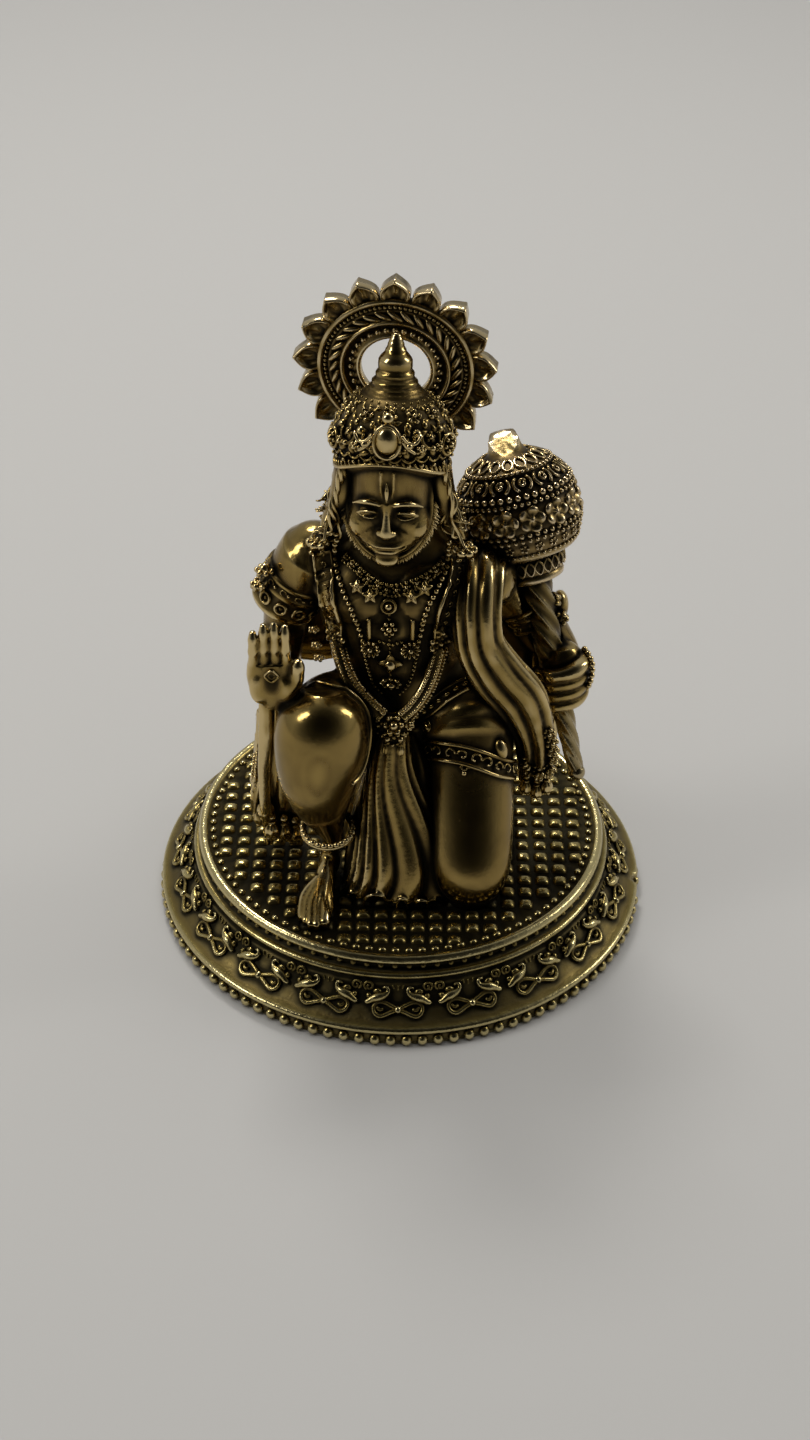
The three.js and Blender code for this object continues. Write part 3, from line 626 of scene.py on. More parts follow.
def face_edge(out):
    """Points along the edge of the face, from one temple round the chin to the other."""
    turn = np.pi * np.linspace(0.86, 2.14, 15)
    reach = 1 + 0.06 * out
    return [(5.15 * reach * math.cos(a), -3.9 + 1.9 * math.sin(a) - 0.4 * out * math.sin(a) + 0.25 * out,
             53.6 + 6.6 * reach * math.sin(a) * (1 if math.sin(a) < 0 else 1.4)) for a in turn]


def head():
    m = MIDDLE
    cast = Cast((m - 8, -10.5, 45), (m + 8, 6, 63), 0.14)
    cast.add(loft([
        (m, -4.6, 46.6, 1.6, 1.4), (m, -3.6, 48, 3.6, 3.5), (m, -2.4, 51, 4.9, 4.9),
        (m, -1.6, 55, 5.3, 5.8), (m, -1, 59.5, 5.3, 6), (m, -0.6, 62, 4.5, 5),
    ], pitch=0.3))
    cast.add(loft([(m, 0.2, 44, 4, 4), (m, -0.6, 50, 3.8, 4)]), 1)
    cast.add(ball(m, -6.1, 49.9, 2.9, 1.9, 1.9), 1.4)
    cast.add(ball(m, -6.7, 47.5, 1.5, 1.1, 1.0), 0.8)
    for s in (-1, 1):
        cast.add(ball(m + s * 3.1, -5.0, 51.6, 1.9, 1.9, 2.1), 1.2)
        cast.cut(ball(m + s * 2.2, -8.0, 54.2, 1.7, 1.0, 1.0), 0.8)
        cast.add(loft([
            (m + s * 0.8, -7.35, 55.5, 0.24), (m + s * 1.9, -7.45, 55.9, 0.34),
            (m + s * 3.1, -7.0, 55.7, 0.32), (m + s * 4.3, -5.9, 54.8, 0.16),
        ], 16, pitch=0.2), 0.5)
        cast.add(ball(m + s * 2.2, -6.15, 54.1, 1.25, 0.95, 0.8), 0.15)
        for lift, bend, r in ((0.42, 0.5, 0.17), (-0.42, -0.3, 0.14)):
            cast.add(loft([
                (m + s * 0.9, -6.85, 54.0, r * 0.7), (m + s * 1.6, -7.2, 54.05 + lift, r),
                (m + s * 2.4, -7.15, 54.0 + lift + 0.1 * bend, r),
                (m + s * 3.2, -6.75, 53.9 + lift * 0.6, r), (m + s * 3.8, -6.2, 53.7, r * 0.7),
            ], 10, pitch=0.15), 0.12)
        cast.add(ball(m + s * 0.78, -7.55, 51.7, 0.5, 0.5, 0.42), 0.3)
        cast.cut(ball(m + s * 0.42, -8.25, 51.25, 0.22, 0.3, 0.18), 0.1)
    cast.add(loft([
        (m, -7.0, 55.6, 0.5, 0.5), (m, -7.35, 54.2, 0.45, 0.5), (m, -7.75, 52.8, 0.55, 0.55),
        (m, -7.95, 51.8, 0.75, 0.6), (m, -7.6, 51.3, 0.6, 0.5),
    ], 24, pitch=0.2), 0.4)
    lip = [(-2.2, -6.9, 49.75), (-1.3, -7.75, 49.55), (0, -8.1, 49.65), (1.3, -7.75, 49.55),
           (2.2, -6.9, 49.75)]
    cast.add(loft([(m + x, y + 0.15, z + 0.32, 0.3 if abs(x) < 2 else 0.12) for x, y, z in lip], 12, UP,
                  pitch=0.2), 0.3)
    cast.add(loft([(m + 0.8 * x, y + 0.2, z - 0.42, 0.34 if abs(x) < 2 else 0.1) for x, y, z in lip], 12,
                  UP, pitch=0.2), 0.3)
    cast.cut(loft([(m + x, y - 0.12, z, 0.16) for x, y, z in lip], 10, UP, pitch=0.2), 0.1)
    for s in (-1, 1):
        cast.add(loft([(m + s * 0.55, -7.2, 56.3, 0.12), (m + s * 0.75, -7.3, 57.6, 0.16),
                       (m + s * 0.8, -7.1, 60, 0.16)], 10, pitch=0.15), 0.08)
    cast.add(loft([(m, -7.5, 56.0, 0.12), (m, -7.5, 57.2, 0.3), (m, -7.35, 58.6, 0.12)], 12,
                  pitch=0.15), 0.1)
    cast.add(loft([(m + x, y, z, 0.3) for x, y, z in face_edge(0)], 12, DEEP, None, 0.12), 0.3)
    return cast


def hair():
    m = MIDDLE
    cast = Cast((m - 11.5, -5.5, 37), (m + 11.5, 11, 62), 0.22)
    comb = ridges(34, 0.7)
    cast.add(loft([
        (m, 6.2, 40, 4.5, 1.6), (m, 6, 43, 6.6, 2.6), (m, 4.6, 48, 7, 3.6), (m, 2.6, 54, 6.6, 4.6),
        (m, 1.6, 59, 6.2, 5),
    ], 200, SIDEWAYS, lambda a, t: 0.2 * comb(a + 0.3 * np.sin(5 * np.pi * t))))
    for s in (-1, 1):
        cast.add(loft([
            (m + s * 8.4, -0.6, 46.6, 1.1, 0.8), (m + s * 7.3, -1.0, 50, 1.5, 1.5),
            (m + s * 6.2, -1.8, 54, 1.6, 2), (m + s * 5.6, -1.8, 58.5, 1.5, 2.2),
        ], 24), 0.4)
    return cast


def locks(add):
    """Wavy strands from the brim's corners down to the brooches, and the short fur round the face."""
    m = MIDDLE
    chance = np.random.default_rng(11)
    for s in (-1, 1):
        for k in range(27):
            u, v = k % 9 / 8 - 0.5, k // 9
            wave, start = 0.32 + 0.22 * chance.random(), 6.28 * chance.random()
            tip, out = 45.8 + 4.5 * chance.random() + 0.7 * v, 0.7 * (chance.random() - 0.7)
            t = np.linspace(0, 1, 15)
            fall = 59.8 - v * 0.5 + (tip - 59.8 + v * 0.5) * t
            x = m + s * (5.3 + 1.2 * u + 2.6 * t**0.9 + out * t + wave * np.sin(13 * t + start) * (0.4 + t))
            y = -3.5 + 1.7 * v - 0.8 * u + 0.9 * t + wave * np.cos(13 * t + start)
            curl = np.clip((t - 0.82) / 0.18, 0, 1)
            radius = 0.36 * (1 - 0.4 * t) * (1 - 0.5 * curl)
            strand = np.stack([x + s * 1.1 * curl**2, y - 0.5 * curl, fall + 1.1 * curl**2, radius], 1)
            add.whole(loft(strand, 6, SIDEWAYS, None, 0.34))
    tuft = loft([(0, 0.25, 0.0, 0.24), (0, -0.5, 0.12, 0.2), (0, -1.2, 0.1, 0.06)], 6, UP, None, 0.25)
    for out, count, size in ((0.5, 70, 0.7), (1.2, 64, 0.8)):
        edge = np.array(face_edge(out)) + (m, 0, 0)
        fine = spline(edge, np.linspace(0.1, 0.9, count))[0]
        away = unit((fine - (m, 1.5, 54.5)) * (1, 0.25, 1))
        away = unit(away + (0, 0, -0.8))
        front = unit(np.cross(np.cross(away, -DEEP), away))
        turns = np.stack([np.cross(-away, front), -away, front], 2)
        bend = np.array([Matrix.Rotation(0.5 * (chance.random() - 0.5), 3, "Z") for _ in range(count)])
        add(tuft, head_turned(fine), turns @ bend, np.full((count, 3), size))


def head_turned(points):
    """Turned about the neck, towards the raised hand."""
    turn = np.array(Matrix.Rotation(-HEAD_TURN, 3, "Z"))
    return (np.array(points, float) - (MIDDLE, 0, 0)) @ turn.T + (MIDDLE, 0, 0)


def on_crown(points):
    """Leans crown points back; the brim's front is drawn up over the forehead."""
    v = np.array(points, float)
    front = np.clip(-v[:, 1] / 7, 0, 1) ** 2
    v[:, 2] += 2.3 * front * np.clip((0.8 - v[:, 2]) / 3, 0, 1)
    leant = v @ np.array(Matrix.Rotation(-CROWN_TILT, 3, "X")).T + (MIDDLE, -0.6, 60)
    return head_turned(leant)


def crown():
    m = MIDDLE
    cast = Cast((m - 10, -11.5, 55.5), (m + 10, 8.5, 76), 0.18)
    profile = (
        (0, -3.4), (5.6, -3.3), (6.5, -2.8), (6.9, -2.2), (6.95, -1.6), (6.6, -1.1), (6.5, -0.6),
        (6.8, -0.2), (7.1, 0.3), (7.2, 0.9), (7.15, 1.6), (6.95, 2.4), (6.65, 3.4), (6.3, 4.3),
        (5.8, 5.0), (5.2, 5.7), (4.5, 6.3), (3.9, 6.7), (3.6, 6.85), (3.55, 7.1), (3.2, 7.3), (3.2, 7.6),
        (2.75, 7.8), (2.85, 8.1), (2.8, 8.35), (2.45, 8.6), (2.3, 8.8), (2.4, 9.1), (2.35, 9.4),
        (2.05, 9.6), (2.1, 10.2), (2.1, 10.8), (1.9, 11.2), (1.55, 11.6), (1.3, 11.8), (1.3, 12.1),
        (1.05, 12.4), (1.0, 12.8), (0.85, 13.1), (0.8, 13.4), (0.6, 13.6), (0.65, 13.8), (0.4, 14.05),
        (0, 14.1),
    )
    verts, faces = turned(profile, 96)
    cast.add((on_crown(verts), faces))
    lumps = [ball(m, -7.7, 64.6, 1.5, 1.2, 1.9, 40, 25)]
    lumps += [ball(m + s * 5.9, -2.2, 61.8, 1.4, 1.8, 2.2) for s in (-1, 1)]
    for verts, faces in lumps:
        cast.add((head_turned(verts), faces), 0.2)
    return cast


FIGURE = {}
# Most triangles of each cast once its plain parts are thinned out
MOST = {"body": 130000, "clothes": 150000, "head": 90000, "hair": 36000, "crown": 60000}
CASTS = {}


def cast_figure():
    up = np.array((0, 0, FIGURE_FOOT))
    for name, make in (("body", body), ("clothes", clothes), ("head", head), ("hair", hair),
                       ("crown", crown)):
        CASTS[name] = make()
        verts, faces = CASTS[name].mesh()
        if name == "head":
            verts = head_turned(verts)
        FIGURE[name] = (verts + up, faces)


# Places


def around(count, radius, height, lift=0.0, start=0.0):
    """Places and frames round an axis: x runs round, z points outwards, tipped up by lift."""
    turn = start + np.linspace(0, 2 * np.pi, count, endpoint=False)
    c, s, o = np.cos(turn), np.sin(turn), np.zeros(count)
    side = np.stack([-s, c, o], 1)
    out = np.stack([c * math.cos(lift), s * math.cos(lift), o + math.sin(lift)], 1)
    return np.stack([radius * c, radius * s, o + height], 1), np.stack([side, np.cross(out, side), out], 2)


def spokes(count, radius, height, start=0.0):
    """Places and frames in a flat ring: y points outwards and z up."""
    turn = start + np.linspace(0, 2 * np.pi, count, endpoint=False)
    c, s, o = np.cos(turn), np.sin(turn), np.zeros(count)
    out, side, up = np.stack([c, s, o], 1), np.stack([s, -c, o], 1), np.stack([o, o, o + 1], 1)
    return np.stack([radius * c, radius * s, o + height], 1), np.stack([side, out, up], 2)


def bead(a, b=None, c=None, around=10, up=6):
    return ball(0, 0, 0, a, b, c, around, up)


# Plinth

SLOPE_FOOT, SLOPE_HEAD, SLOPE_LOW, SLOPE_HIGH, SLOPE_SAG = 32.6, 28.9, 2.9, 7.3, 0.5
SLOPE_RUN = math.hypot(SLOPE_FOOT - SLOPE_HEAD, SLOPE_HIGH - SLOPE_LOW)
SLOPE_LIFT = math.atan2(SLOPE_FOOT - SLOPE_HEAD, SLOPE_HIGH - SLOPE_LOW)
NOTCH_ANGLE, NOTCH_RADIUS, NOTCH_PLACE = -0.09, 1.4, 34.2
STUD_PITCH, STUD_FIELD = 2.4, 25.3


def on_slope(shape):
    """Bends a flat shape (along, up the slope, raised) onto the plinth's flared band."""
    (u, w, h), faces = shape[0].T, shape[1]
    v = w / SLOPE_RUN
    r = SLOPE_FOOT + (SLOPE_HEAD - SLOPE_FOOT) * v - SLOPE_SAG * np.sin(np.pi * v) + h * math.cos(SLOPE_LIFT)
    z = SLOPE_LOW + (SLOPE_HIGH - SLOPE_LOW) * v + h * math.sin(SLOPE_LIFT)
    turn = u / SLOPE_FOOT
    return np.stack([r * np.cos(turn), r * np.sin(turn), z], 1), faces


def notched(shape):
    """Pushes back what lies within the broken notch in the foot."""
    verts, faces = shape
    middle = NOTCH_PLACE * np.array((math.cos(NOTCH_ANGLE), math.sin(NOTCH_ANGLE)))
    off = verts[:, :2] - middle
    far = np.maximum(np.linalg.norm(off, axis=1), 1e-6)
    hit = (far < NOTCH_RADIUS) & (verts[:, 2] < SLOPE_LOW + 0.3)
    verts = verts.copy()
    verts[hit, :2] = middle + off[hit] / far[hit, None] * NOTCH_RADIUS
    return verts, faces


def scroll_motif():
    """A bow of two loops under a pair of comma leaves, with half of a small scroll at each side."""
    half = math.pi * SLOPE_FOOT / 20
    parts = [ball(0, 1.8, 0.3, 0.5, 0.5, 0.5, 12, 8), wire([(0, 4.3, 0.1), (0, 5.0, 0.1)], 0.14, 5)]
    bow = (
        (0.2, 1.9), (1.0, 2.25), (2.0, 2.6), (2.9, 2.5), (3.35, 1.95), (3.1, 1.25), (2.4, 0.95),
        (1.7, 1.15), (1.0, 1.45), (0.2, 1.7),
    )
    leaf = (
        (2.2, 4.5, 0.14), (1.8, 4.75, 0.2), (1.4, 4.45, 0.26), (1.5, 3.9, 0.36), (2.0, 3.5, 0.55),
        (2.8, 3.25, 0.7), (3.5, 3.0, 0.58), (4.1, 2.6, 0.4), (4.6, 2.5, 0.26),
    )
    lobe = ((2.4, 3.7, 0.3), (2.9, 4.15, 0.42), (3.5, 3.9, 0.26))
    scroll = (
        (0.2, 4.15), (0.6, 4.6), (0.45, 5.15), (-0.1, 5.35), (-0.6, 5.05), (-0.6, 4.5), (-0.15, 4.25),
        (0.15, 4.6), (-0.1, 4.9),
    )
    for s in (-1, 1):
        parts.append(wire([(s * u, w, 0.22) for u, w in bow], 0.29))
        parts.append(wire([(s * 2.9, 2.0, 0.2), (s * 2.5, 1.65, 0.3), (s * 2.0, 1.8, 0.2)], 0.22))
        parts.append(ball(s * 4.1, 3.35, 0.2, 0.45, 0.45, 0.4, 10, 7))
        parts.append(loft([(s * u, w, 0.3, r) for u, w, r in leaf], 10, UP, pitch=0.3))
        parts.append(loft([(s * u, w, 0.25, r) for u, w, r in lobe], 8, UP, pitch=0.3))
        parts.append(wire([(s * (half - 0.8 + u), w, 0.16) for u, w in scroll], 0.2, 5))
        parts.append(wire([(s * 0.6, 4.5, 0.1), (s * 0.8, 5.1, 0.1)], 0.14, 5))
    return on_slope(joined(parts))


def plinth():
    slope = [
        (SLOPE_FOOT + (SLOPE_HEAD - SLOPE_FOOT) * t - SLOPE_SAG * math.sin(math.pi * t),
         SLOPE_LOW + (SLOPE_HIGH - SLOPE_LOW) * t)
        for t in np.linspace(0, 1, 11)[1:-1]
    ]
    body = turned([
        (1, 0), (32.8, 0), (33.15, 0.12), (33.15, 1.8), *roll(33.1, 1.9, 2.9, 0.5), *slope,
        *roll(28.4, 7.3, 8.2, 0.5), (27.5, 8.25), (27.5, 9.25), *roll(27.7, 9.3, 10.15, 0.5, 5)[:-1],
        (27.9, 10.3), (27.6, 10.4), (27.2, 10.36), (27.0, 10.2), (26.92, 10.0), (1, 10.0),
    ], 600)
    metal = METAL["plinth"]
    steps = np.arange(-12, 13) * STUD_PITCH
    studs = np.array([(x, y, FIELD_TOP) for x in steps for y in steps if math.hypot(x, y) < STUD_FIELD])
    pad = plaque(
        [(1.0 * np.sign(math.cos(a)) * abs(math.cos(a)) ** 0.55,
          0.9 * np.sign(math.sin(a)) * abs(math.sin(a)) ** 0.55)
         for a in np.linspace(0, 2 * np.pi, 16, endpoint=False)],
        lambda x, y, e: 0.5 * (1 - np.asarray(e) ** 3.2), 4, 0.2,
    )
    level = np.repeat(np.eye(3)[None], len(studs), 0)
    motif_turns = [np.array(Matrix.Rotation(k * math.pi / 10, 3, "Z")) for k in range(20)]
    foot = [q for q in zip(*around(101, 33.25, 0.95, 0, 0.02))
            if abs(math.atan2(q[0][1], q[0][0]) - NOTCH_ANGLE) > 0.04]
    parts = [
        notched(body),
        repeat(pad, studs, level, metal, None, 0.06, 4),
        repeat(bead(0.62, 0.5, 0.45), *spokes(95, 26.15, 10.0), metal),
        repeat(bead(0.42), *around(95, 27.6, 8.75), metal),
        repeat(bead(0.78, 0.85, 0.7), [q[0] for q in foot], [q[1] for q in foot], metal),
        repeat(scroll_motif(), np.zeros((20, 3)), motif_turns, metal, None, 0.0),
    ]
    show("plinth_cast", mesh_from("plinth_cast", joined(parts)), "plinth", metal)


# Halo, in its own plane: x to the right, y up and z to the front

HALO_RADIUS = 12.7
HALO_PLACE = (-1.6, 7.9, 76.4)
HALO_TILT, HALO_TURN = 0.1, -0.113


def petal():
    half = ((1.0, -0.9), (1.5, 0.0), (1.8, 0.8), (1.78, 1.5), (1.45, 2.15), (0.9, 2.7), (0.35, 3.12))
    corners = [*half, (0, 3.35), *[(-x, y) for x, y in half[::-1]]]
    outline = spline(corners, np.linspace(0, 1, 44))[0]

    def height(x, y, e):
        rim = np.clip((y + 0.2) / 1.2, 0, 1) * np.exp(-(((e - 0.86) / 0.15) ** 2))
        ribs = np.cos(15 * np.arctan2(x, y + 1.1)) * np.clip((0.86 - e) / 0.3, 0, 1)
        return 0.25 + 0.5 * rim + 0.13 * ribs + 0.06 * np.clip(y, 0, 4) ** 2 - 0.3 * (1 - e**2)

    return plaque(outline, height, 10, 0.9)


def halo():
    R = HALO_RADIUS
    metal = METAL["halo"]
    loop = [(r * R, z) for r, z in (
        (0.36, -0.95), (0.74, -0.95), (0.775, -0.75), (0.78, 0.15), (0.765, 0.45), (0.74, 0.52),
        (0.722, 0.4), (0.71, 0.1), (0.67, 0.1), (0.658, 0.3), (0.645, 0.3), (0.62, 0.12), (0.57, 0.2),
        (0.548, 0.35), (0.54, 0.6), (0.526, 0.7), (0.512, 0.6), (0.502, 0.25), (0.44, 0.05), (0.385, 0.2),
        (0.375, 0.4), (0.35, 0.35), (0.34, 0.1), (0.34, -0.7),
    )]
    leaf_places, leaf_turns = spokes(32, 0.6 * R, 0.3)
    slant = np.array(Matrix.Rotation(0.95, 3, "Z"))
    parts = [
        hoop(loop, 180),
        repeat(petal(), *spokes(17, 9.35, -0.05, math.pi / 2), metal, None, 0.03),
        repeat(bead(0.36, 1.25, 0.42, 10, 8), leaf_places, leaf_turns @ slant, metal, None, 0.08),
        repeat(bead(0.27, around=8, up=5), *spokes(88, 0.69 * R, 0.22), metal),
        repeat(bead(0.42, around=9, up=6), *spokes(32, 0.438 * R, 0.15), metal),
    ]
    turn = Matrix.Rotation(HALO_TURN, 3, "Z") @ Matrix.Rotation(math.pi / 2 + HALO_TILT, 3, "X")
    show("halo_cast", mesh_from("halo_cast", moved(joined(parts), HALO_PLACE, turn)), "halo", metal)


# Mace, about its own axis with the middle of the head at 0, then leant onto the shoulder

MACE_RADIUS, MACE_LENGTH = 8.2, 37.6
MACE_HEAD, MACE_FOOT = Vector((14.6, 8, 56.1)), Vector((23.7, -2, 21.1))


def arc(radius, start, end, steps):
    return [(radius * math.cos(a), radius * math.sin(a), 0.0) for a in np.linspace(start, end, steps)]


def flower(radius, petals, tall=0.55):
    """An open flower with rolled petal edges and a round eye."""
    turn = np.linspace(0, 2 * np.pi, 8 * petals, endpoint=False)
    reach = radius * (0.74 + 0.26 * np.abs(np.cos(petals * turn / 2)) ** 0.7)

    def height(x, y, e):
        lobe = np.abs(np.cos(petals * np.arctan2(y, x) / 2))
        rim = 0.5 * np.exp(-(((e - 0.8) / 0.16) ** 2)) * lobe
        eye = np.exp(-((e / 0.2) ** 2))
        return tall * (0.35 + rim + 0.6 * eye - 0.3 * (1 - lobe) * (e > 0.3))

    return plaque(np.stack([reach * np.cos(turn), reach * np.sin(turn)], 1), height, 8, 0.5)


def mace():
    R = MACE_RADIUS
    metal = METAL["mace"]
    rows = (
        (0.30, -1.13), (0.44, -1.12), (0.5, -1.09), (0.515, -1.04), (0.5, -0.99), (0.485, -0.97),
        (0.52, -0.95), (0.53, -0.93), (0.56, -0.7), (0.6, -0.68), (0.63, -0.65), (0.78, -0.62),
        (0.83, -0.58), (0.85, -0.53), (0.84, -0.49), (0.87, -0.46), (0.9, -0.4), (0.915, -0.33),
        (0.93, -0.29), (0.95, -0.24), (0.94, -0.19), (0.95, -0.14), (0.965, -0.1), (0.97, 0.0),
        (0.965, 0.12), (0.95, 0.22), (0.93, 0.27), (0.92, 0.3), (0.925, 0.34), (0.9, 0.4), (0.885, 0.45),
        (0.86, 0.49), (0.84, 0.52), (0.8, 0.57), (0.74, 0.65), (0.69, 0.71), (0.68, 0.74), (0.69, 0.76),
        (0.66, 0.79), (0.61, 0.81), (0.6, 0.82), (0.5, 0.87), (0.38, 0.93), (0.34, 0.95), (0.29, 1.0),
        (0.26, 1.08), (0.24, 1.18), (0.225, 1.28), (0.13, 1.3),
    )
    verts, faces = turned([(r * R, z * R) for r, z in rows], 150)
    top = verts[:, 2] > 1.0 * R
    cut = 1.19 * R + 0.7 * verts[:, 1] + 0.03 * np.sin(5 * verts[:, 0] + 3 * verts[:, 1])
    verts[top, 2] = np.minimum(verts[top, 2], cut[top])
    flutes = ridges(7, 0.8)
    shaft = loft([(0, 0, -1.05 * R, 2.45), (0, 0, -MACE_LENGTH, 1.1)], 70, SIDEWAYS,
                 lambda a, t: -0.085 * (2.45 - 1.35 * t) * (flutes(a - 8 * t) + 1), 0.22)
    tear = [(0.0, 1.15, 0), (0.55, 0.5, 0), (0.68, -0.2, 0), (0.4, -0.85, 0), (0, -1.05, 0)]
    loop = tear + [(-x, y, 0) for x, y, _ in tear[-2::-1]]
    bracket = joined([wire(arc(1.2, a, a + 1.9, 6), 0.24, 6, 0.35) for a in (-0.95, math.pi - 0.95)])
    curl = wire([(0.5, 0.35, 0.05), (0, 0.6, 0.15), (-0.45, 0.1, 0.1), (-0.1, -0.4, 0.15), (0.35, -0.2, 0.2),
                 (0.1, 0.1, 0.25)], 0.2, 6, 0.3)
    floret = joined([ball(0.42 * math.cos(a), 0.42 * math.sin(a), 0.05, 0.25, 0.25, 0.25, 7, 5)
                     for a in np.linspace(0, 2 * np.pi, 5, endpoint=False)])
    diamond = wire([(0, 1.0, 0.1), (0.6, 0, 0.1), (0, -1.0, 0.1), (-0.6, 0, 0.1), (0, 1.0, 0.1)],
                   0.15, 5, 0.3)
    small = dict(around=8, up=5)
    parts = [
        (verts, faces),
        repeat(wire(loop, 0.24, 6, 0.35), *around(16, 0.505 * R, 0.875 * R, 1.08), metal),
        repeat(bead(0.3, **small), *around(50, 0.675 * R, 0.775 * R, 0.8), metal),
        repeat(joined([bracket, curl]), *around(14, 0.785 * R, 0.625 * R, 0.73), metal),
        repeat(bead(0.46), *around(42, 0.905 * R, 0.44 * R, 0.5), metal),
        repeat(bead(0.34, **small), *around(56, 0.935 * R, 0.335 * R, 0.35), metal),
        repeat(flower(1.85, 5, 0.5), *around(14, 0.96 * R, 0.08 * R, 0.08), metal, None, 0.05),
        repeat(bead(0.4, **small), *around(48, 0.955 * R, -0.155 * R, 0), metal),
        repeat(bead(0.36, **small), *around(52, 0.945 * R, -0.245 * R, -0.1), metal),
        repeat(floret, *around(24, 0.905 * R, -0.37 * R, -0.25), metal),
        repeat(bead(0.3, **small), *around(56, 0.845 * R, -0.51 * R, -0.4), metal),
        repeat(diamond, *around(24, 0.552 * R, -0.815 * R, -0.1), metal, None, 0.0),
    ]
    turn = UP_VECTOR.rotation_difference(MACE_HEAD - MACE_FOOT).to_matrix()
    show("mace_cast", mesh_from("mace_cast", moved(joined(parts), MACE_HEAD, turn)), "mace", metal)
    shaft = moved(joined([shaft, ball(0, 0, -MACE_LENGTH, 1.2)]), MACE_HEAD, turn)
    show("mace_shaft", mesh_from("mace_shaft", shaft), "mace", METAL["shaft"])


# Jewellery, laid on the figure's surface, with z counted from its foot


def settled(names, points):
    """Points brought onto the surface of these casts, with the direction out of it."""
    p = np.array(points, float)

    def far(q):
        return np.min([sampled(CASTS[n].far, CASTS[n].low, CASTS[n].cell, q) for n in names], 0)

    step = 0.25 * np.eye(3)
    for _ in range(5):
        slope = unit(np.stack([far(p + step[i]) - far(p - step[i]) for i in range(3)], 1))
        p = p - far(p)[:, None] * slope
    return p, slope


def line(points, pitch, names=("body", "clothes"), lift=0.0):
    """Places and frames at even steps along a curve on the figure: x runs along, z points out."""
    fine = spline(points, np.linspace(0, 1, 300))[0]
    fine, out = settled(names, fine)
    run = np.concatenate([[0], np.cumsum(np.linalg.norm(np.diff(fine, axis=0), axis=1))])
    at = np.linspace(0, run[-1], max(2, round(run[-1] / pitch) + 1))
    place = np.stack([np.interp(at, run, c) for c in fine.T], 1)
    out = unit(np.stack([np.interp(at, run, c) for c in out.T], 1))
    along = unit(np.gradient(place, axis=0))
    out = unit(out - (out * along).sum(1)[:, None] * along)
    return place + lift * out, np.stack([along, np.cross(out, along), out], 2)


def spots(points, names=("body", "clothes", "head", "hair", "crown"), lift=0.0, up=UP):
    """Places and frames of single ornaments: y points up the surface and z out of it."""
    place, out = settled(names, points)
    side = unit(np.cross(up, out))
    return place + lift * out, np.stack([side, np.cross(out, side), out], 2)


def sweep(places, frames, section):
    """A closed band of this section (across, out) carried along places and their frames."""
    s = np.array(section, float)
    ring = places[:, None] + s[None, :, :1] * frames[:, None, :, 1] + s[None, :, 1:] * frames[:, None, :, 2]
    verts = np.vstack([ring.reshape(-1, 3), places[0], places[-1]])
    return verts, tube_faces(len(places), len(s))


def oval(a, b, sides=10):
    turn = np.linspace(0, 2 * np.pi, sides, endpoint=False)
    return np.stack([a * np.cos(turn), b * np.sin(turn)], 1)


def band(half, high, rim):
    """Section of a flat band with a rolled rim along each edge."""
    return [
        (half, -0.5), (half + rim, 0), (half + 0.9 * rim, high + rim), (half, high + 1.5 * rim),
        (half - rim, high + rim), (half - 1.3 * rim, high), (1.3 * rim - half, high),
        (rim - half, high + rim), (-half, high + 1.5 * rim), (-half - 0.9 * rim, high + rim),
        (-half - rim, 0), (-half, -0.5),
    ]


def star(radius, points=5):
    turn = np.linspace(0, 2 * np.pi, 4 * points, endpoint=False)
    reach = radius * (0.5 + 0.5 * np.abs(np.cos(points * turn / 2)) ** 3)
    return plaque(
        np.stack([reach * np.sin(-turn), reach * np.cos(turn)], 1),
        lambda x, y, e: 0.5 - 0.3 * e + 0.35 * np.exp(-((e / 0.25) ** 2)), 5, 0.4,
    )


def cluster(radius, count, grain):
    """A rosette of grains round one grain."""
    turn = np.linspace(0, 2 * np.pi, count, endpoint=False)
    return joined([ball(0, 0, 0.25, 1.3 * grain, 1.3 * grain, 1.3 * grain, 10, 7), *(
        ball(radius * math.cos(a), radius * math.sin(a), 0.1, grain, grain, grain, 8, 5) for a in turn
    )])


def curl(size, side=1):
    """A flat C-scroll of wire."""
    turn = np.linspace(0, 4.9, 12)
    reach = size * (1 - 0.13 * turn)
    return wire([(side * r * math.cos(a), r * math.sin(a), 0.08 + 0.03 * a) for a, r in zip(turn, reach)],
                0.17 * size, 6, 0.22)


def tassel():
    """Knot, collar and a ridged bell that ends in four grains; it hangs from its top."""
    comb = ridges(8, 0.7)
    bell = loft([(0, 0, -3.4, 0.95), (0, 0, -2.8, 1.15), (0, 0, -1.9, 0.95), (0, 0, -1.2, 0.5)], 40,
                SIDEWAYS, lambda a, t: 0.1 * comb(a), 0.25)
    grains = [ball(0.55 * math.cos(a), 0.55 * math.sin(a), -3.7, 0.42, 0.42, 0.45, 8, 5)
              for a in (0.8, 2.4, 3.9, 5.5)]
    return joined([ball(0, 0, -0.4, 0.6, 0.6, 0.6, 12, 8),
                   ring_tube((0, 0, -1.1), (0, 0, 1), 0.5, 0.22, 16, 6), bell, *grains])


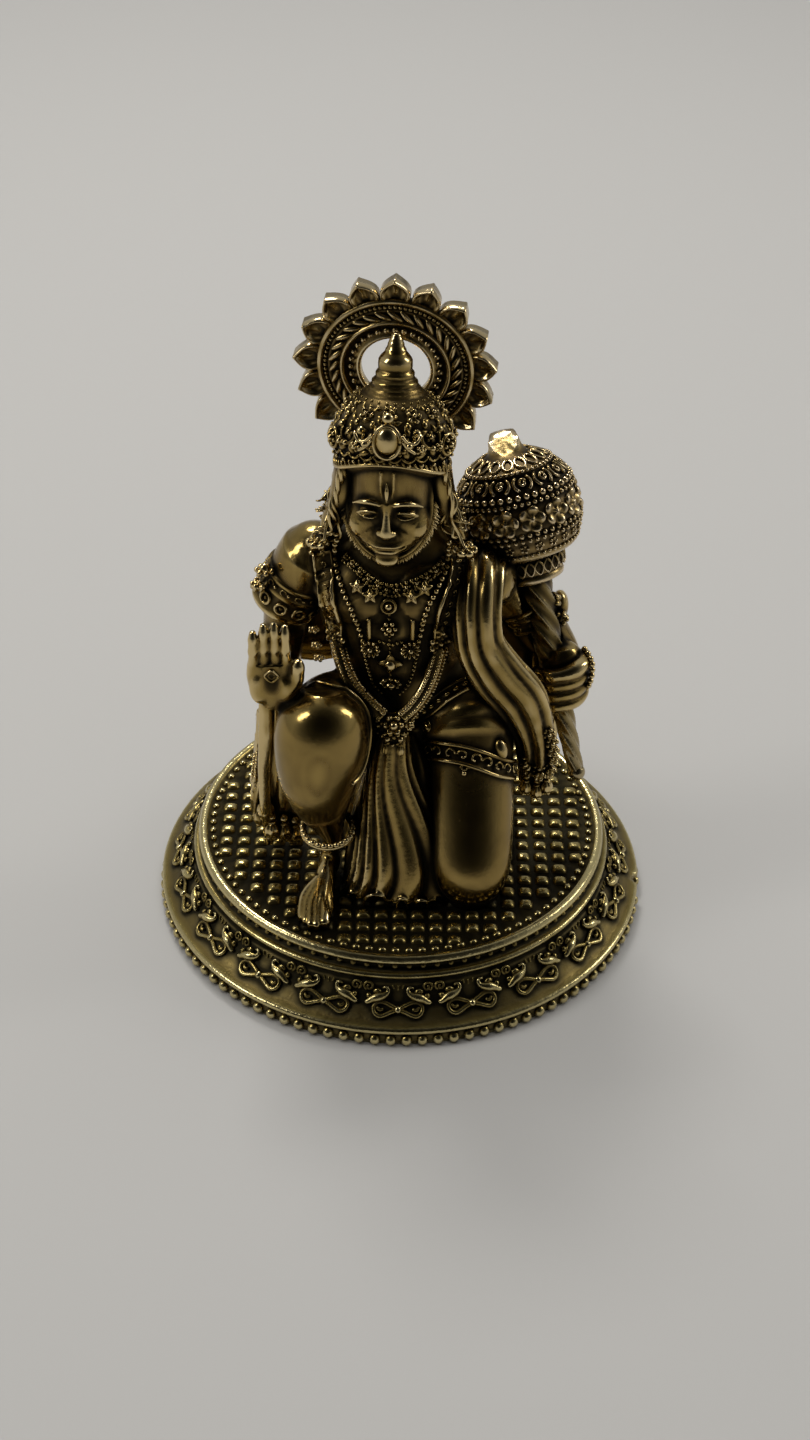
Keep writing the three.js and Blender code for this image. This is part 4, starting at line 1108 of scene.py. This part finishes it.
def strings_and_pendants(add):
    """Everything on the breast between the collar and the knot."""
    chest = ("body",)
    right = ((-8.7, -2.8, 48.4), (-8.9, -2.1, 45.0), (-8.3, -3.6, 43.4), (-7.5, -5.6, 41.7),
             (-6.7, -6.6, 39.6), (-5.8, -6.3, 36.8), (-5.2, -6.3, 34.9))
    left = ((5.4, -2.9, 47.6), (5.3, -2.7, 44.6), (4.4, -4.5, 43.0), (3.3, -6.1, 41.2), (2.6, -6.7, 39.2),
            (2.3, -6.4, 37.2), (1.8, -6.3, 35.1))
    for path in (right, left):
        add(bead(0.4), *line(path, 0.88, chest, 0.15))
    for s in (-1, 1):
        mid = -1.7
        low = ((mid + s * 3.3, -6.2, 33), (mid + s * 3.0, -6.4, 30.6), (mid + s * 2.3, -6.4, 28.2),
               (mid + s * 1.2, -6.3, 26.6))
        add(bead(0.27, around=8, up=5), *line(low, 0.62, chest, 0.1))
        link = ((mid + s * 2.3, -6.6, 34.4), (mid + s * 1.4, -6.7, 35.1), (mid + s * 0.3, -6.7, 34.7))
        add(bead(0.24, around=8, up=5), *line(link, 0.55, chest, 0.1))
        bar = line(((mid + s * 2.8, -6.6, 38.4), (mid + s * 2.7, -6.4, 35.3)), 0.3, chest, 0.1)
        add.whole(sweep(*bar, oval(0.3, 0.3)))
    collar = ((-7.3, -2.4, 45.2), (-5.0, -4.5, 44.0), (-3.1, -5.3, 43.1), (-1.7, -5.5, 42.8),
              (-0.2, -5.3, 43.0), (1.9, -4.9, 43.7), (3.7, -3.6, 44.4), (5.0, -1.8, 45.1))
    for drop, size, step in ((0, 0.3, 0.66), (-1.5, 0.24, 0.55)):
        add(bead(size, around=8, up=5), *line([(x, y, z + drop) for x, y, z in collar], step, chest, 0.1))
    add(cluster(0.42, 5, 0.2), *line([(x, y, z - 0.75) for x, y, z in collar], 1.35, chest, 0.05))
    add(star(1.15), *spots([(-4.4, -5.9, 41.6), (0.9, -6.0, 41.6), (-5.9, -5.2, 42.4), (2.4, -5.4, 42.4)],
                           chest, 0.1))
    add(flower(1.35, 11, 0.6), *spots([(-4.2, -6.5, 33.9), (0.8, -6.6, 33.9)], chest, 0.25))
    add(bead(0.4), *spots([(-4.2, -6.5, 33.9), (0.8, -6.6, 33.9)], chest, 0.6))
    drop = line(((-1.9, -5.4, 42.6), (-1.9, -6.6, 38), (-1.7, -6.6, 32), (-1.6, -6.4, 27.4)),
                0.62, chest, 0.1)
    add(bead(0.2, around=8, up=5), *drop)
    pendants = [(-2.0, -6.2, 40.2), (-1.9, -6.7, 37.2), (-1.7, -6.7, 31.8), (-1.6, -6.5, 28.6)]
    place, turn = spots(pendants, chest, 0.25)
    add(joined([ring_tube((0, 0, 0), (0, 0, 1), 0.85, 0.22, 24, 8),
                ball(0, 0, 0.15, 0.5, around=14, up=9)]), place[:1], turn[:1])
    add(cluster(0.75, 6, 0.33), place[1:2], turn[1:2])
    add(joined([star(1.7, 4), ball(0, 0, 0.45, 0.75, 0.85, 0.6, 16, 10)]), place[2:3], turn[2:3])
    add(joined([flower(1.1, 8), ball(0, 0, 0.5, 0.5, around=12, up=8)]), place[3:], turn[3:],
        [(1.35, 0.85, 1)])


def garland(add):
    """Two plaited strands on each side, from the rosettes down to the jewelled knot."""
    right = ((-8.7, -4.6, 33.6), (-7.8, -6.6, 31.2), (-6.6, -8.2, 29.2), (-4.6, -9.6, 27.4),
             (-2.6, -10.6, 26))
    left = ((4.6, -5.4, 33.4), (3.8, -6.6, 30.6), (2.8, -7.8, 28.4), (1.4, -9.2, 26.8), (-0.2, -10.5, 25.8))
    for path in (right, left):
        fine = spline(path, np.linspace(0, 1, 60))[0]
        along = unit(np.gradient(fine, axis=0))
        out = unit(np.array((0, -1.0, 0.35)) - (along @ (0, -1.0, 0.35))[:, None] * along)
        frames = np.stack([along, np.cross(out, along), out], 2)
        add.whole(sweep(fine, frames, oval(0.95, 0.6, 14)))
        pick = np.linspace(1, 58, 26).round().astype(int)
        for side in (-1, 1):
            slant = np.array(Matrix.Rotation(side * 0.6, 3, "Z"))
            place = fine[pick] + 0.45 * side * frames[pick][:, :, 1] + 0.42 * frames[pick][:, :, 2]
            add(bead(0.42, 0.2, 0.3, 8, 5), place, frames[pick] @ slant)
        edge = fine[pick] + 1.02 * frames[pick][:, :, 1] + 0.2 * frames[pick][:, :, 2]
        add(bead(0.2, around=8, up=5), edge, frames[pick])
    rosettes = [(-8.7, -4.6, 34.2), (4.5, -5.4, 34.2)]
    add(joined([flower(1.6, 7), cluster(0.7, 5, 0.28)]), *spots(rosettes, lift=0.35))
    add(star(1.3), *spots([(-8.7, -4.2, 36.0), (4.6, -5.2, 35.9)], lift=0.3))
    knot = spots([(-1.2, -11.2, 25.2), (-3.1, -10.6, 25.4), (0.8, -10.6, 25.0), (-1.9, -11.4, 23.4),
                  (-0.3, -11.3, 23.2)], ("clothes",), 0.2)
    add(joined([flower(1.25, 6), ball(0, 0, 0.5, 0.55, around=12, up=8)]), *knot,
        [(1.1,) * 3, *[(0.75,) * 3] * 4])
    add(bead(0.3, around=8, up=5),
        *line(((-3.4, -10.2, 24), (-1.2, -11.2, 22.0), (1.2, -10.2, 23.6)), 0.62, ("clothes",), 0.1))
    add(tassel(), [(-2.1, -11.0, 22.8), (-0.3, -10.9, 22.6)], [np.eye(3)] * 2, [(0.55, 0.55, 0.7)] * 2)


def bands_and_belts(add):
    """Belt, thigh band, armlets, anklet, bracelet, stole edges and the mark in the palm."""
    belt = line(((1.5, -5.9, 22.5), (3.5, -6.1, 24.2), (6.0, -5.8, 26.3), (8.3, -5.2, 28.0)), 0.3, ("body",))
    add.whole(sweep(*belt, band(0.85, 0.25, 0.16)))
    studs = line(((1.8, -5.9, 22.7), (3.5, -6.1, 24.2), (6.0, -5.8, 26.3), (8.0, -5.2, 27.8)), 1.35,
                 ("body",), 0.3)
    add(bead(0.5, 0.36, 0.3), *studs)
    thigh = ((1.6, -7.5, 18.6), (2.9, -8.8, 19.2), (4.6, -9.7, 19.8), (7.5, -10.6, 20.1),
             (10.1, -10.8, 19.4), (12.8, -10.2, 17.7), (14.5, -8.2, 15.8), (15.0, -5.8, 14.0))
    add.whole(sweep(*line(thigh, 0.3, ("body",)), band(1.15, 0.1, 0.24)))
    place, turn = line(thigh[1:], 1.75, ("body",), 0.2)
    add(curl(0.78), place[::2], turn[::2])
    add(curl(0.78, -1), place[1::2], turn[1::2])
    hang = spots([(8.2, -10.9, 18.2)], ("body",), 0.1)
    add(joined([curl(0.6), curl(0.6, -1), ball(0, -0.7, 0, 0.35)]), *hang)
    add(bead(0.95, 1.5, 0.8, 20, 12), *spots([(12.9, -8.9, 19.8)], ("body",), 0.1))
    add(joined([bead(0.8, 0.55, 0.5, 14, 9), ring_tube((0, 0, 0), (0, 0, 1), 0.75, 0.16, 24, 6)]),
        *spots([(3.3, -6.9, 21.8)], ("body",), 0.1))
    profile = (
        (-3.1, -1.6), (-3.1, -0.35), (-2.9, 0.2), (-2.4, 0.35), (-2.0, 0.1), (-0.9, 0.12), (0.3, 0.15),
        (0.7, 0.4), (1.1, 0.15), (1.9, 0.1), (2.3, 0.35), (2.7, 0.25), (3.0, -0.3), (3.0, -1.6),
    )
    for middle, axis, size, share, begin, end in (
        ((-14.6, 2.0, 37.6), (0.42, -0.1, 0.9), 4.25, 1.0, 0.0, 2 * math.pi),
        ((15.9, 6.8, 32.0), (-0.5, -0.15, 0.85), 3.75, 0.6, 0.9, 5.05),
    ):
        axis = unit(np.array(axis))
        one = unit(np.cross(axis, DEEP))
        two = np.cross(axis, one)

        def girdle(turns, height, lift):
            out = np.cos(turns)[:, None] * one + np.sin(turns)[:, None] * two
            across = np.repeat(axis[None], len(turns), 0)
            places = np.array(middle) + height * axis + (size + lift) * out
            return places, np.stack([np.cross(axis, out), across, out], 2)

        add.whole(sweep(*girdle(np.linspace(begin, end, 80), 0, 0),
                        [(share * h, lift) for h, lift in profile[::-1]]))
        eye = joined([ring_tube((0, 0, 0.1), (0, 0, 1), 0.75, 0.22, 20, 8), ball(0, 0, 0, 0.25)])
        scroll = joined([curl(0.55), ball(0.9, 0, 0, 0.26)])
        for height, pitch, shape in ((-0.9, 0.57, eye), (1.5, 0.48, scroll)):
            turns = np.arange(begin + 0.25, end - 0.2, pitch)
            add(shape, *girdle(turns, share * height, 0.12), [(share,) * 3] * len(turns))
    crest = joined([bead(0.75, 0.75, 0.75, 14, 9), *(
        ball(1.0 * math.cos(a), 1.0 * math.sin(a), -0.2, 0.4, 0.4, 0.4, 9, 6)
        for a in np.linspace(0.3, 5.9, 7)
    )])
    add(crest, *spots([(-17.9, -0.6, 41.8)], lift=0.6))
    add(flower(1.2, 6), *spots([(-18.6, -0.8, 39.6), (19.6, 5.2, 33.8), (20.6, 4.8, 31.6)], lift=0.5))
    ankle = unit(np.array((0, -0.15, 1)))
    one = unit(np.cross(ankle, DEEP))
    two = np.cross(ankle, one)
    turns = np.linspace(0, 2 * np.pi, 26, endpoint=False)
    loop = [np.array((-9.6, -13.2, 9.6)) + 3.35 * (math.cos(a) * one + math.sin(a) * two) for a in turns]
    add.whole(ring_tube((-9.6, -13.2, 9.25), ankle, 3.3, 0.45, 60, 10))
    add(bead(0.45), loop, [np.eye(3)] * len(loop))
    wrist = [(23.9, 1.8, 28.4), (24.7, 0.2, 27.8), (24.9, -0.4, 26.2), (24.6, -0.6, 24.4), (24.0, 0.2, 22.8)]
    fine = spline(wrist, np.linspace(0, 1, 10))[0]
    add(bead(0.45), fine, [np.eye(3)] * len(fine))
    edge = [(0.95, 0), (0, 0.95), (-0.95, 0), (0, -0.95), (0.95, 0)]
    mark = joined([wire([(x, y, 0.12) for x, y in edge], 0.16, 6, 0.25),
                   wire([(0.55 * x, 0.55 * y, 0.05) for x, y in edge], 0.1, 5, 0.25)])
    add(mark, *spots([(-16.5, -12.3, 33.4)], ("body",)))
    stoles = (
        ((-10.6, -2.2, 45.4), (-9.8, -4.3, 42), (-9.0, -4.8, 38.5), (-8.8, -4.5, 35)),
        ((6.9, -2.0, 44.6), (5.5, -5.7, 40.2), (4.8, -5.2, 37), (4.6, -5.1, 35)),
    )
    for path in stoles:
        add.whole(sweep(*line(path, 0.4, ("body",)), band(1.15, 0.4, 0.14)))
        add(curl(0.45), *line(path, 1.5, ("body",), 0.4))
    hem = ((-11, -8.6, 29.9), (-9.3, -9.4, 29.9), (-7.5, -10.2, 29.7), (-5.9, -10.6, 28.4),
           (-4.9, -11.1, 26.8), (-4.4, -11.6, 24.8), (-4.5, -12.2, 22.4), (-5.0, -13.2, 20.6),
           (-5.7, -14.6, 19.6), (-6.6, -16.0, 19.4))
    add.whole(sweep(*line(hem, 0.3, ("body",)), oval(0.26, 0.4)))
    add(joined([flower(1.55, 6), cluster(0.7, 6, 0.26)]),
        *spots([(-11.0, -2.8, 47.4), (7.4, -3.2, 46.9)], lift=0.3))
    add(bead(0.3), *spots([(-11.9, -2.6, 45.6), (6.6, -3.2, 45.2), (8.4, -3.0, 45.2)], lift=0.2))


def fringes(add):
    """Tassels and jewelled borders of the sash ends and of the shawl."""
    places = [(-19.0, -5.4, 7.4), (-17.5, -7.2, 6.6), (-15.9, -6.8, 6.0), (-14.5, -6.2, 5.2),
              (-18.3, -6.8, 9.6), (16.7, -5.2, 12.6), (18.1, -5.3, 12.0), (19.4, -5.0, 12.6)]
    add(tassel(), places, [np.eye(3)] * len(places), [(1, 1, 1)] * 5 + [(0.85, 0.85, 0.85)] * 3)
    rope = ((-19.2, -6.2, 16), (-19.6, -5.6, 12), (-19.5, -5.2, 8.4))
    fine = spline(rope, np.linspace(0, 1, 13))[0]
    add(cluster(0.4, 4, 0.26), fine, [np.eye(3)] * len(fine))
    border = ((15.4, -7.0, 14.6), (17.6, -6.6, 13.2), (19.8, -5.4, 13.4))
    add(flower(0.85, 5), *line(border, 1.5, ("clothes",), 0.1))
    add(bead(0.24, around=8, up=5), *line([(x, y, z + 1.4) for x, y, z in border], 0.6, ("clothes",), 0.05))
    rosette = joined([flower(0.95, 5), ball(0, 0, 0.4, 0.3)])
    add(rosette, *line(((19.2, -6.9, 20.8), (19.9, -6.4, 18.4), (20.2, -5.6, 15.6)), 1.9, ("clothes",), 0.1))
    inner = ((-11.6, -3.6, 34.5), (-11.2, -5.2, 33.2), (-10.8, -6.6, 32.2))
    add(cluster(0.5, 5, 0.3), inner, [np.eye(3)] * 3)


def crown_work(add):
    """Rows round the crown from the brim to the neck of the finial, and the jewel over the forehead."""
    lean = np.array(Matrix.Rotation(-HEAD_TURN, 3, "Z") @ Matrix.Rotation(-CROWN_TILT, 3, "X"))

    def row(count, radius, height, lift, start=0.0):
        places, turns = around(count, radius, height, lift, start)
        return on_crown(places), lean @ turns

    small = dict(around=8, up=5)
    slant = np.array(Matrix.Rotation(0.5, 3, "Z"))
    places, turns = row(58, 7.0, -1.95, 0)
    add(bead(0.22, 0.6, 0.34, 8, 5), places, turns @ slant)
    add(bead(0.3, **small), *row(56, 6.62, -0.85, 0.1))
    swag = wire([(x, 0.55 * (x / 0.8) ** 2 - 0.4, 0.1) for x in np.linspace(-0.85, 0.85, 7)], 0.17, 6, 0.25)
    add(joined([swag, ball(0, -0.85, 0.1, 0.26, None, None, 8, 5)]), *row(26, 7.15, 0.2, 0.0))
    leaf = loft([(0, -0.5, 0.0, 0.3, 0.22), (0.15, 0.1, 0.15, 0.4, 0.3), (0.5, 0.7, 0.1, 0.12)], 8,
                SIDEWAYS, None, 0.25)
    for count, radius, height, lift in (
        (26, 7.15, 1.1, 0), (24, 6.85, 2.3, 0.2), (22, 6.45, 3.5, 0.35), (20, 5.85, 4.6, 0.6),
        (16, 4.8, 5.75, 0.8),
    ):
        places, turns = row(count, radius, height, lift, 0.1 * count)
        tip = np.array([Matrix.Rotation((0.9, -0.8)[k % 2], 3, "Z") for k in range(count)])
        add(leaf, places, turns @ tip)
    add(cluster(0.5, 5, 0.26), *row(17, 7.4, 1.75, -0.1, math.pi / 17 - math.pi / 2))
    loop = wire([(x, y, 0.15) for x, y, _ in arc(1.3, -3.5, 0.36, 12)], 0.24, 7, 0.25)
    add(joined([loop, cluster(0.5, 5, 0.27), ball(0, -1.3, 0.3, 0.38, None, None, 10, 7)]),
        *row(12, 6.75, 2.9, 0.3, math.pi / 12 - math.pi / 2))
    add(bead(0.6, around=12, up=8), *row(12, 6.6, 3.5, 0.4, -math.pi / 2))
    add(bead(0.42, 0.55, 0.4, 10, 7), *row(18, 6.2, 4.3, 0.55, 0.2))
    add(joined([flower(1.0, 5), ball(0, 0, 0.4, 0.3, None, None, 8, 6)]),
        *row(12, 5.55, 5.25, 0.75, -math.pi / 2))
    add(bead(0.3, **small), *row(30, 4.75, 6.05, 0.7))
    add(bead(0.24, **small), *row(26, 4.15, 6.5, 0.8))
    add(bead(0.14, **small), *row(34, 3.3, 7.15, 0))
    edge = [(1.5 * math.cos(a), 1.95 * math.sin(a), -0.5) for a in np.linspace(0, 2 * math.pi, 25)]
    gem = head_turned([(MIDDLE, -8.5, 64.7)])
    front = lean @ np.stack([SIDEWAYS, UP, -DEEP], 1)
    arms = joined([
        wire([(s * 1.7, 0.9, -0.3), (s * 2.4, 0.1, -0.5), (s * 3.3, -0.1, -0.9), (s * 3.9, 0.8, -1.4)],
             0.2, 7, 0.25)
        for s in (-1, 1)
    ] + [
        wire([(s * 1.75, 0.3, -0.4), (s * 2.5, -0.7, -0.6), (s * 3.3, -1.3, -0.9)], 0.2, 7, 0.25)
        for s in (-1, 1)
    ] + [ball(s * 2.6, -0.35, -0.6, 0.42, None, None, 10, 7) for s in (-1, 1)] + [
        ball(0, 2.7, -0.9, 0.7, 0.7, 0.6, 14, 9), wire(edge, 0.26, 8, 0.25),
    ])
    add(arms, gem, [front])
    sides = head_turned([(MIDDLE - 6.9, -3.2, 62.2), (MIDDLE + 6.9, -3.2, 62.2)])
    place, turn = spots(sides, ("crown",), 0.1)
    add(joined([cluster(0.8, 6, 0.32), ring_tube((0, 0, -0.1), (0, 0, 1), 1.25, 0.22, 24, 6)]), place, turn)
    rim = [(7.05 * math.cos(a), 7.05 * math.sin(a), -2.5) for a in np.linspace(-math.pi, 0, 60)]
    add.whole(loft([(*p, 0.28) for p in on_crown(rim)], 10, UP, None, 0.3))


class Dressing:
    """Collects ornaments: called, it repeats a shape; `whole` takes one as it is."""

    def __init__(self):
        self.parts = []

    def __call__(self, shape, places, turns, stretch=None):
        self.parts.append(repeat(shape, places, turns, METAL["figure"], stretch, 0.05, 5 + len(self.parts)))

    def whole(self, shape):
        self.parts.append(shape)


def jewellery():
    up = (0, 0, FIGURE_FOOT)
    for name, makers in (
        ("jewels", (strings_and_pendants, garland)), ("bands", (bands_and_belts, fringes)),
        ("crown_work", (crown_work,)), ("locks", (locks,)),
    ):
        add = Dressing()
        for make in makers:
            make(add)
        title = "figure_" + name
        show(title, mesh_from(title, moved(joined(add.parts), up)), "figure", METAL["figure"])


# Metal


def brass(name, grain, shine, tint=(1, 1, 1), wear_and_shade_lift=0.0, dark=1.0):
    """Antique brass: patina and painted shade darken the recesses; olive gold between, pale where rubbed."""
    metal = bpy.data.materials.new(name)
    metal.use_nodes = True
    tree = metal.node_tree
    new, link = tree.nodes.new, tree.links.new
    shader = tree.nodes["Principled BSDF"]
    place = new("ShaderNodeTexCoord")

    def attribute(title):
        node = new("ShaderNodeAttribute")
        node.attribute_name = title
        return node.outputs["Fac"]

    def math_of(kind, *inputs):
        node = new("ShaderNodeMath")
        node.operation = kind
        for slot, value in zip(node.inputs, inputs):
            if isinstance(value, (int, float)):
                slot.default_value = value
            else:
                link(value, slot)
        return node.outputs[0]

    def noise(scale, detail):
        node = new("ShaderNodeTexNoise")
        node.inputs["Scale"].default_value = scale
        node.inputs["Detail"].default_value = detail
        link(place.outputs["Object"], node.inputs["Vector"])
        return node.outputs["Fac"]

    def ramp(value, *stops):
        node = new("ShaderNodeValToRGB")
        link(value, node.inputs["Fac"])
        while len(node.color_ramp.elements) < len(stops):
            node.color_ramp.elements.new(0.5)
        for element, (at, colour) in zip(node.color_ramp.elements, stops):
            element.position = at
            element.color = (*colour, 1)
        return node.outputs["Color"]

    # Painted shade: the more metal lies round a point, the darker the colour, down to near black. This
    # stands in for occlusion shade as well as real patina, and open surfaces stay pale like rubbed brass.
    # The fifth argument shifts the whole ramp lighter: more rubbed brass, less patina and painted shade.
    patina_and_shade = math_of("MULTIPLY_ADD", attribute("near"), 1.7, -0.35 - wear_and_shade_lift)
    patina_and_shade = math_of("MULTIPLY_ADD", attribute("wide"), 0.9, math_of("SUBTRACT", patina_and_shade, 0.45))
    patches = math_of("MULTIPLY_ADD", noise(160, 4), 0.16, -0.08)
    patina_and_shade = math_of("ADD", patina_and_shade, patches)
    colour = ramp(patina_and_shade, *(
        (at, tuple(share * c * t for c, t in zip(stop, tint))) for at, share, stop in (
            (0.16, 1, (0.68, 0.53, 0.26)), (0.38, 1, (0.37, 0.262, 0.086)), (0.56, 1, (0.22, 0.15, 0.05)),
            (0.72, dark, (0.06, 0.043, 0.018)), (0.88, dark, (0.014, 0.011, 0.006)),
        )
    ))
    link(colour, shader.inputs["Base Color"])
    rough = ramp(patina_and_shade, (0.2, (shine, shine, shine)), (0.5, (shine + 0.08,) * 3), (0.8, (0.6, 0.6, 0.6)))
    link(math_of("MULTIPLY_ADD", noise(420, 3), 0.14, math_of("SUBTRACT", rough, 0.07)),
         shader.inputs["Roughness"])
    shader.inputs["Metallic"].default_value = 1
    skin = math_of("MULTIPLY_ADD", noise(2600, 2), 0.35, noise(700, 3))
    bump = new("ShaderNodeBump")
    bump.inputs["Strength"].default_value = grain
    bump.inputs["Distance"].default_value = 0.0002
    link(skin, bump.inputs["Height"])
    link(bump.outputs["Normal"], shader.inputs["Normal"])
    return metal


METAL = {
    "plinth": brass("plinth brass", 0.42, 0.22, (0.88, 0.95, 0.95), 0.03, 2.2),
    "figure": brass("figure brass", 0.14, 0.13),
    "halo": brass("halo brass", 0.25, 0.2, (0.95, 0.97, 1.1)),
    "mace": brass("mace brass", 0.3, 0.22, (1.0, 1.02, 1.25), 0.1),
    "shaft": brass("shaft brass", 0.3, 0.2, (0.6, 0.62, 0.7)),
}


def blurred(filled, reach):
    """Mean over a box of cells that reaches this far each way, taken twice for softness."""
    soft = filled
    width = 2 * reach + 1
    for _ in range(2):
        for axis in range(3):
            pad = [(0, 0)] * 3
            pad[axis] = (reach + 1, reach)
            total = np.cumsum(np.pad(soft, pad, mode="edge"), axis=axis, dtype=np.float32)
            n = soft.shape[axis]
            soft = (np.take(total, np.arange(width, width + n), axis)
                    - np.take(total, np.arange(n), axis)) / width
    return soft


def find_recesses(cell=0.36):
    """Keeps on each point how much metal lies close round it and further round it."""
    shapes = [shape_of(ob.data) for ob, _ in pieces]
    verts, (quads, fans) = joined(shapes)
    grid = vdb.FloatGrid.createLevelSetFromPolygons(
        np.ascontiguousarray(verts, np.float32),
        triangles=np.ascontiguousarray(fans, np.uint32),
        quads=np.ascontiguousarray(quads, np.uint32),
        transform=vdb.createLinearTransform(voxelSize=cell), halfWidth=3.0,
    )
    low = np.floor(verts.min(0) / cell).astype(int) - 8
    high = np.ceil(verts.max(0) / cell).astype(int) + 8
    far = np.full(high - low, 3 * cell, np.float32)
    grid.copyToArray(far, ijk=tuple(int(c) for c in low))
    filled = np.where(far < 0, 1, np.clip(0.5 - far / cell, 0, 1)).astype(np.float32)
    # These amounts darken the brass colour in recesses and between parts: partly patina, partly painted
    # shade.
    for title, reach in (("near", 1), ("wide", 4)):
        soft = blurred(filled, reach)
        for (ob, _), (points, _) in zip(pieces, shapes):
            layer = ob.data.attributes.new(title, "FLOAT", "POINT")
            layer.data.foreach_set("value", sampled(soft, low, cell, points).astype(np.float32))


cast_figure()
for name, shape in FIGURE.items():
    ob = show("figure_" + name, mesh_from(name, shape), "figure", METAL["figure"])
    thin_out(ob, MOST[name])
jewellery()
plinth()
halo()
mace()
find_recesses()


# Stage


def camera():
    away, height = 297.8, math.radians(41.448)
    tip, roll, aside = math.radians(37.18), math.radians(1.0), math.radians(0.08)
    place = Vector((0, -away * math.cos(height), away * math.sin(height)))
    ahead = Vector((math.sin(aside) * math.cos(tip), math.cos(aside) * math.cos(tip), -math.sin(tip)))
    right = ahead.cross(Vector((0, 0, 1))).normalized()
    up = right.cross(ahead)
    across = right * math.cos(roll) + up * math.sin(roll)
    above = up * math.cos(roll) - right * math.sin(roll)
    data = bpy.data.cameras.new("camera")
    data.sensor_width, data.lens, data.clip_start = 36, 52, 0.01
    ob = bpy.data.objects.new("camera", data)
    bpy.context.scene.collection.objects.link(ob)
    turn = Matrix((across, above, -ahead)).transposed().to_4x4()
    turn.translation = place * 0.001
    ob.matrix_world = turn
    bpy.context.scene.camera = ob


def floor():
    mesh = bpy.data.meshes.new("floor")
    mesh.from_pydata([(-3, -3, 0), (3, -3, 0), (3, 3, 0), (-3, 3, 0)], [], [(0, 1, 2, 3)])
    ob = bpy.data.objects.new("floor", mesh)
    bpy.context.scene.collection.objects.link(ob)
    paper = bpy.data.materials.new("pale paper")
    paper.use_nodes = True
    shader = paper.node_tree.nodes["Principled BSDF"]
    shader.inputs["Base Color"].default_value = (0.35, 0.345, 0.335, 1)
    shader.inputs["Roughness"].default_value = 0.9
    mesh.materials.append(paper)


def lights():
    """A dim room, bright at the horizon behind and beside, with soft boxes that mirror as small spots."""
    world = bpy.data.worlds.new("studio")
    bpy.context.scene.world = world
    world.use_nodes = True
    tree = world.node_tree
    new, link = tree.nodes.new, tree.links.new
    sky = tree.nodes["Background"]
    way = new("ShaderNodeTexCoord")
    facing = new("ShaderNodeVectorMath")
    facing.operation = "DOT_PRODUCT"
    facing.inputs[1].default_value = (0, -0.75, 0.66)
    link(way.outputs["Generated"], facing.inputs[0])
    shade = new("ShaderNodeValToRGB")
    link(facing.outputs["Value"], shade.inputs["Fac"])
    for _ in range(2):
        shade.color_ramp.elements.new(0.5)
    for element, (at, level) in zip(shade.color_ramp.elements,
                                    ((0.2, 1.0), (0.55, 0.32), (0.75, 0.08), (0.95, 0.02))):
        element.position = at
        element.color = (level, level, 0.98 * level, 1)
    link(shade.outputs["Color"], sky.inputs["Color"])
    sky.inputs["Strength"].default_value = 0.36
    for title, place, size, power, mirrors in (
        ("far soft box", (-0.09, 0.34, 0.5), (0.16, 0.09), 1.6, True),
        ("left soft box", (-0.45, -0.1, 0.4), (0.12, 0.3), 0.9, True),
        ("right soft box", (0.45, 0.1, 0.3), (0.1, 0.25), 0.5, True),
        ("wide soft box", (0, 0.1, 1.3), (1.6, 1.6), 16, False),
    ):
        data = bpy.data.lights.new(title, "AREA")
        data.shape, data.size, data.size_y, data.energy = "RECTANGLE", *size, power
        data.color = (1, 0.98, 0.95)
        ob = bpy.data.objects.new(title, data)
        bpy.context.scene.collection.objects.link(ob)
        ob.location = place
        ob.rotation_euler = (Vector((0, 0, 0.04)) - ob.location).to_track_quat("-Z", "Y").to_euler()
        ob.visible_glossy = mirrors


camera()
floor()
lights()
bpy.context.scene.view_settings.view_transform = "Standard"

for ob, node in pieces:
    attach(ob, "root")
    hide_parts(node)
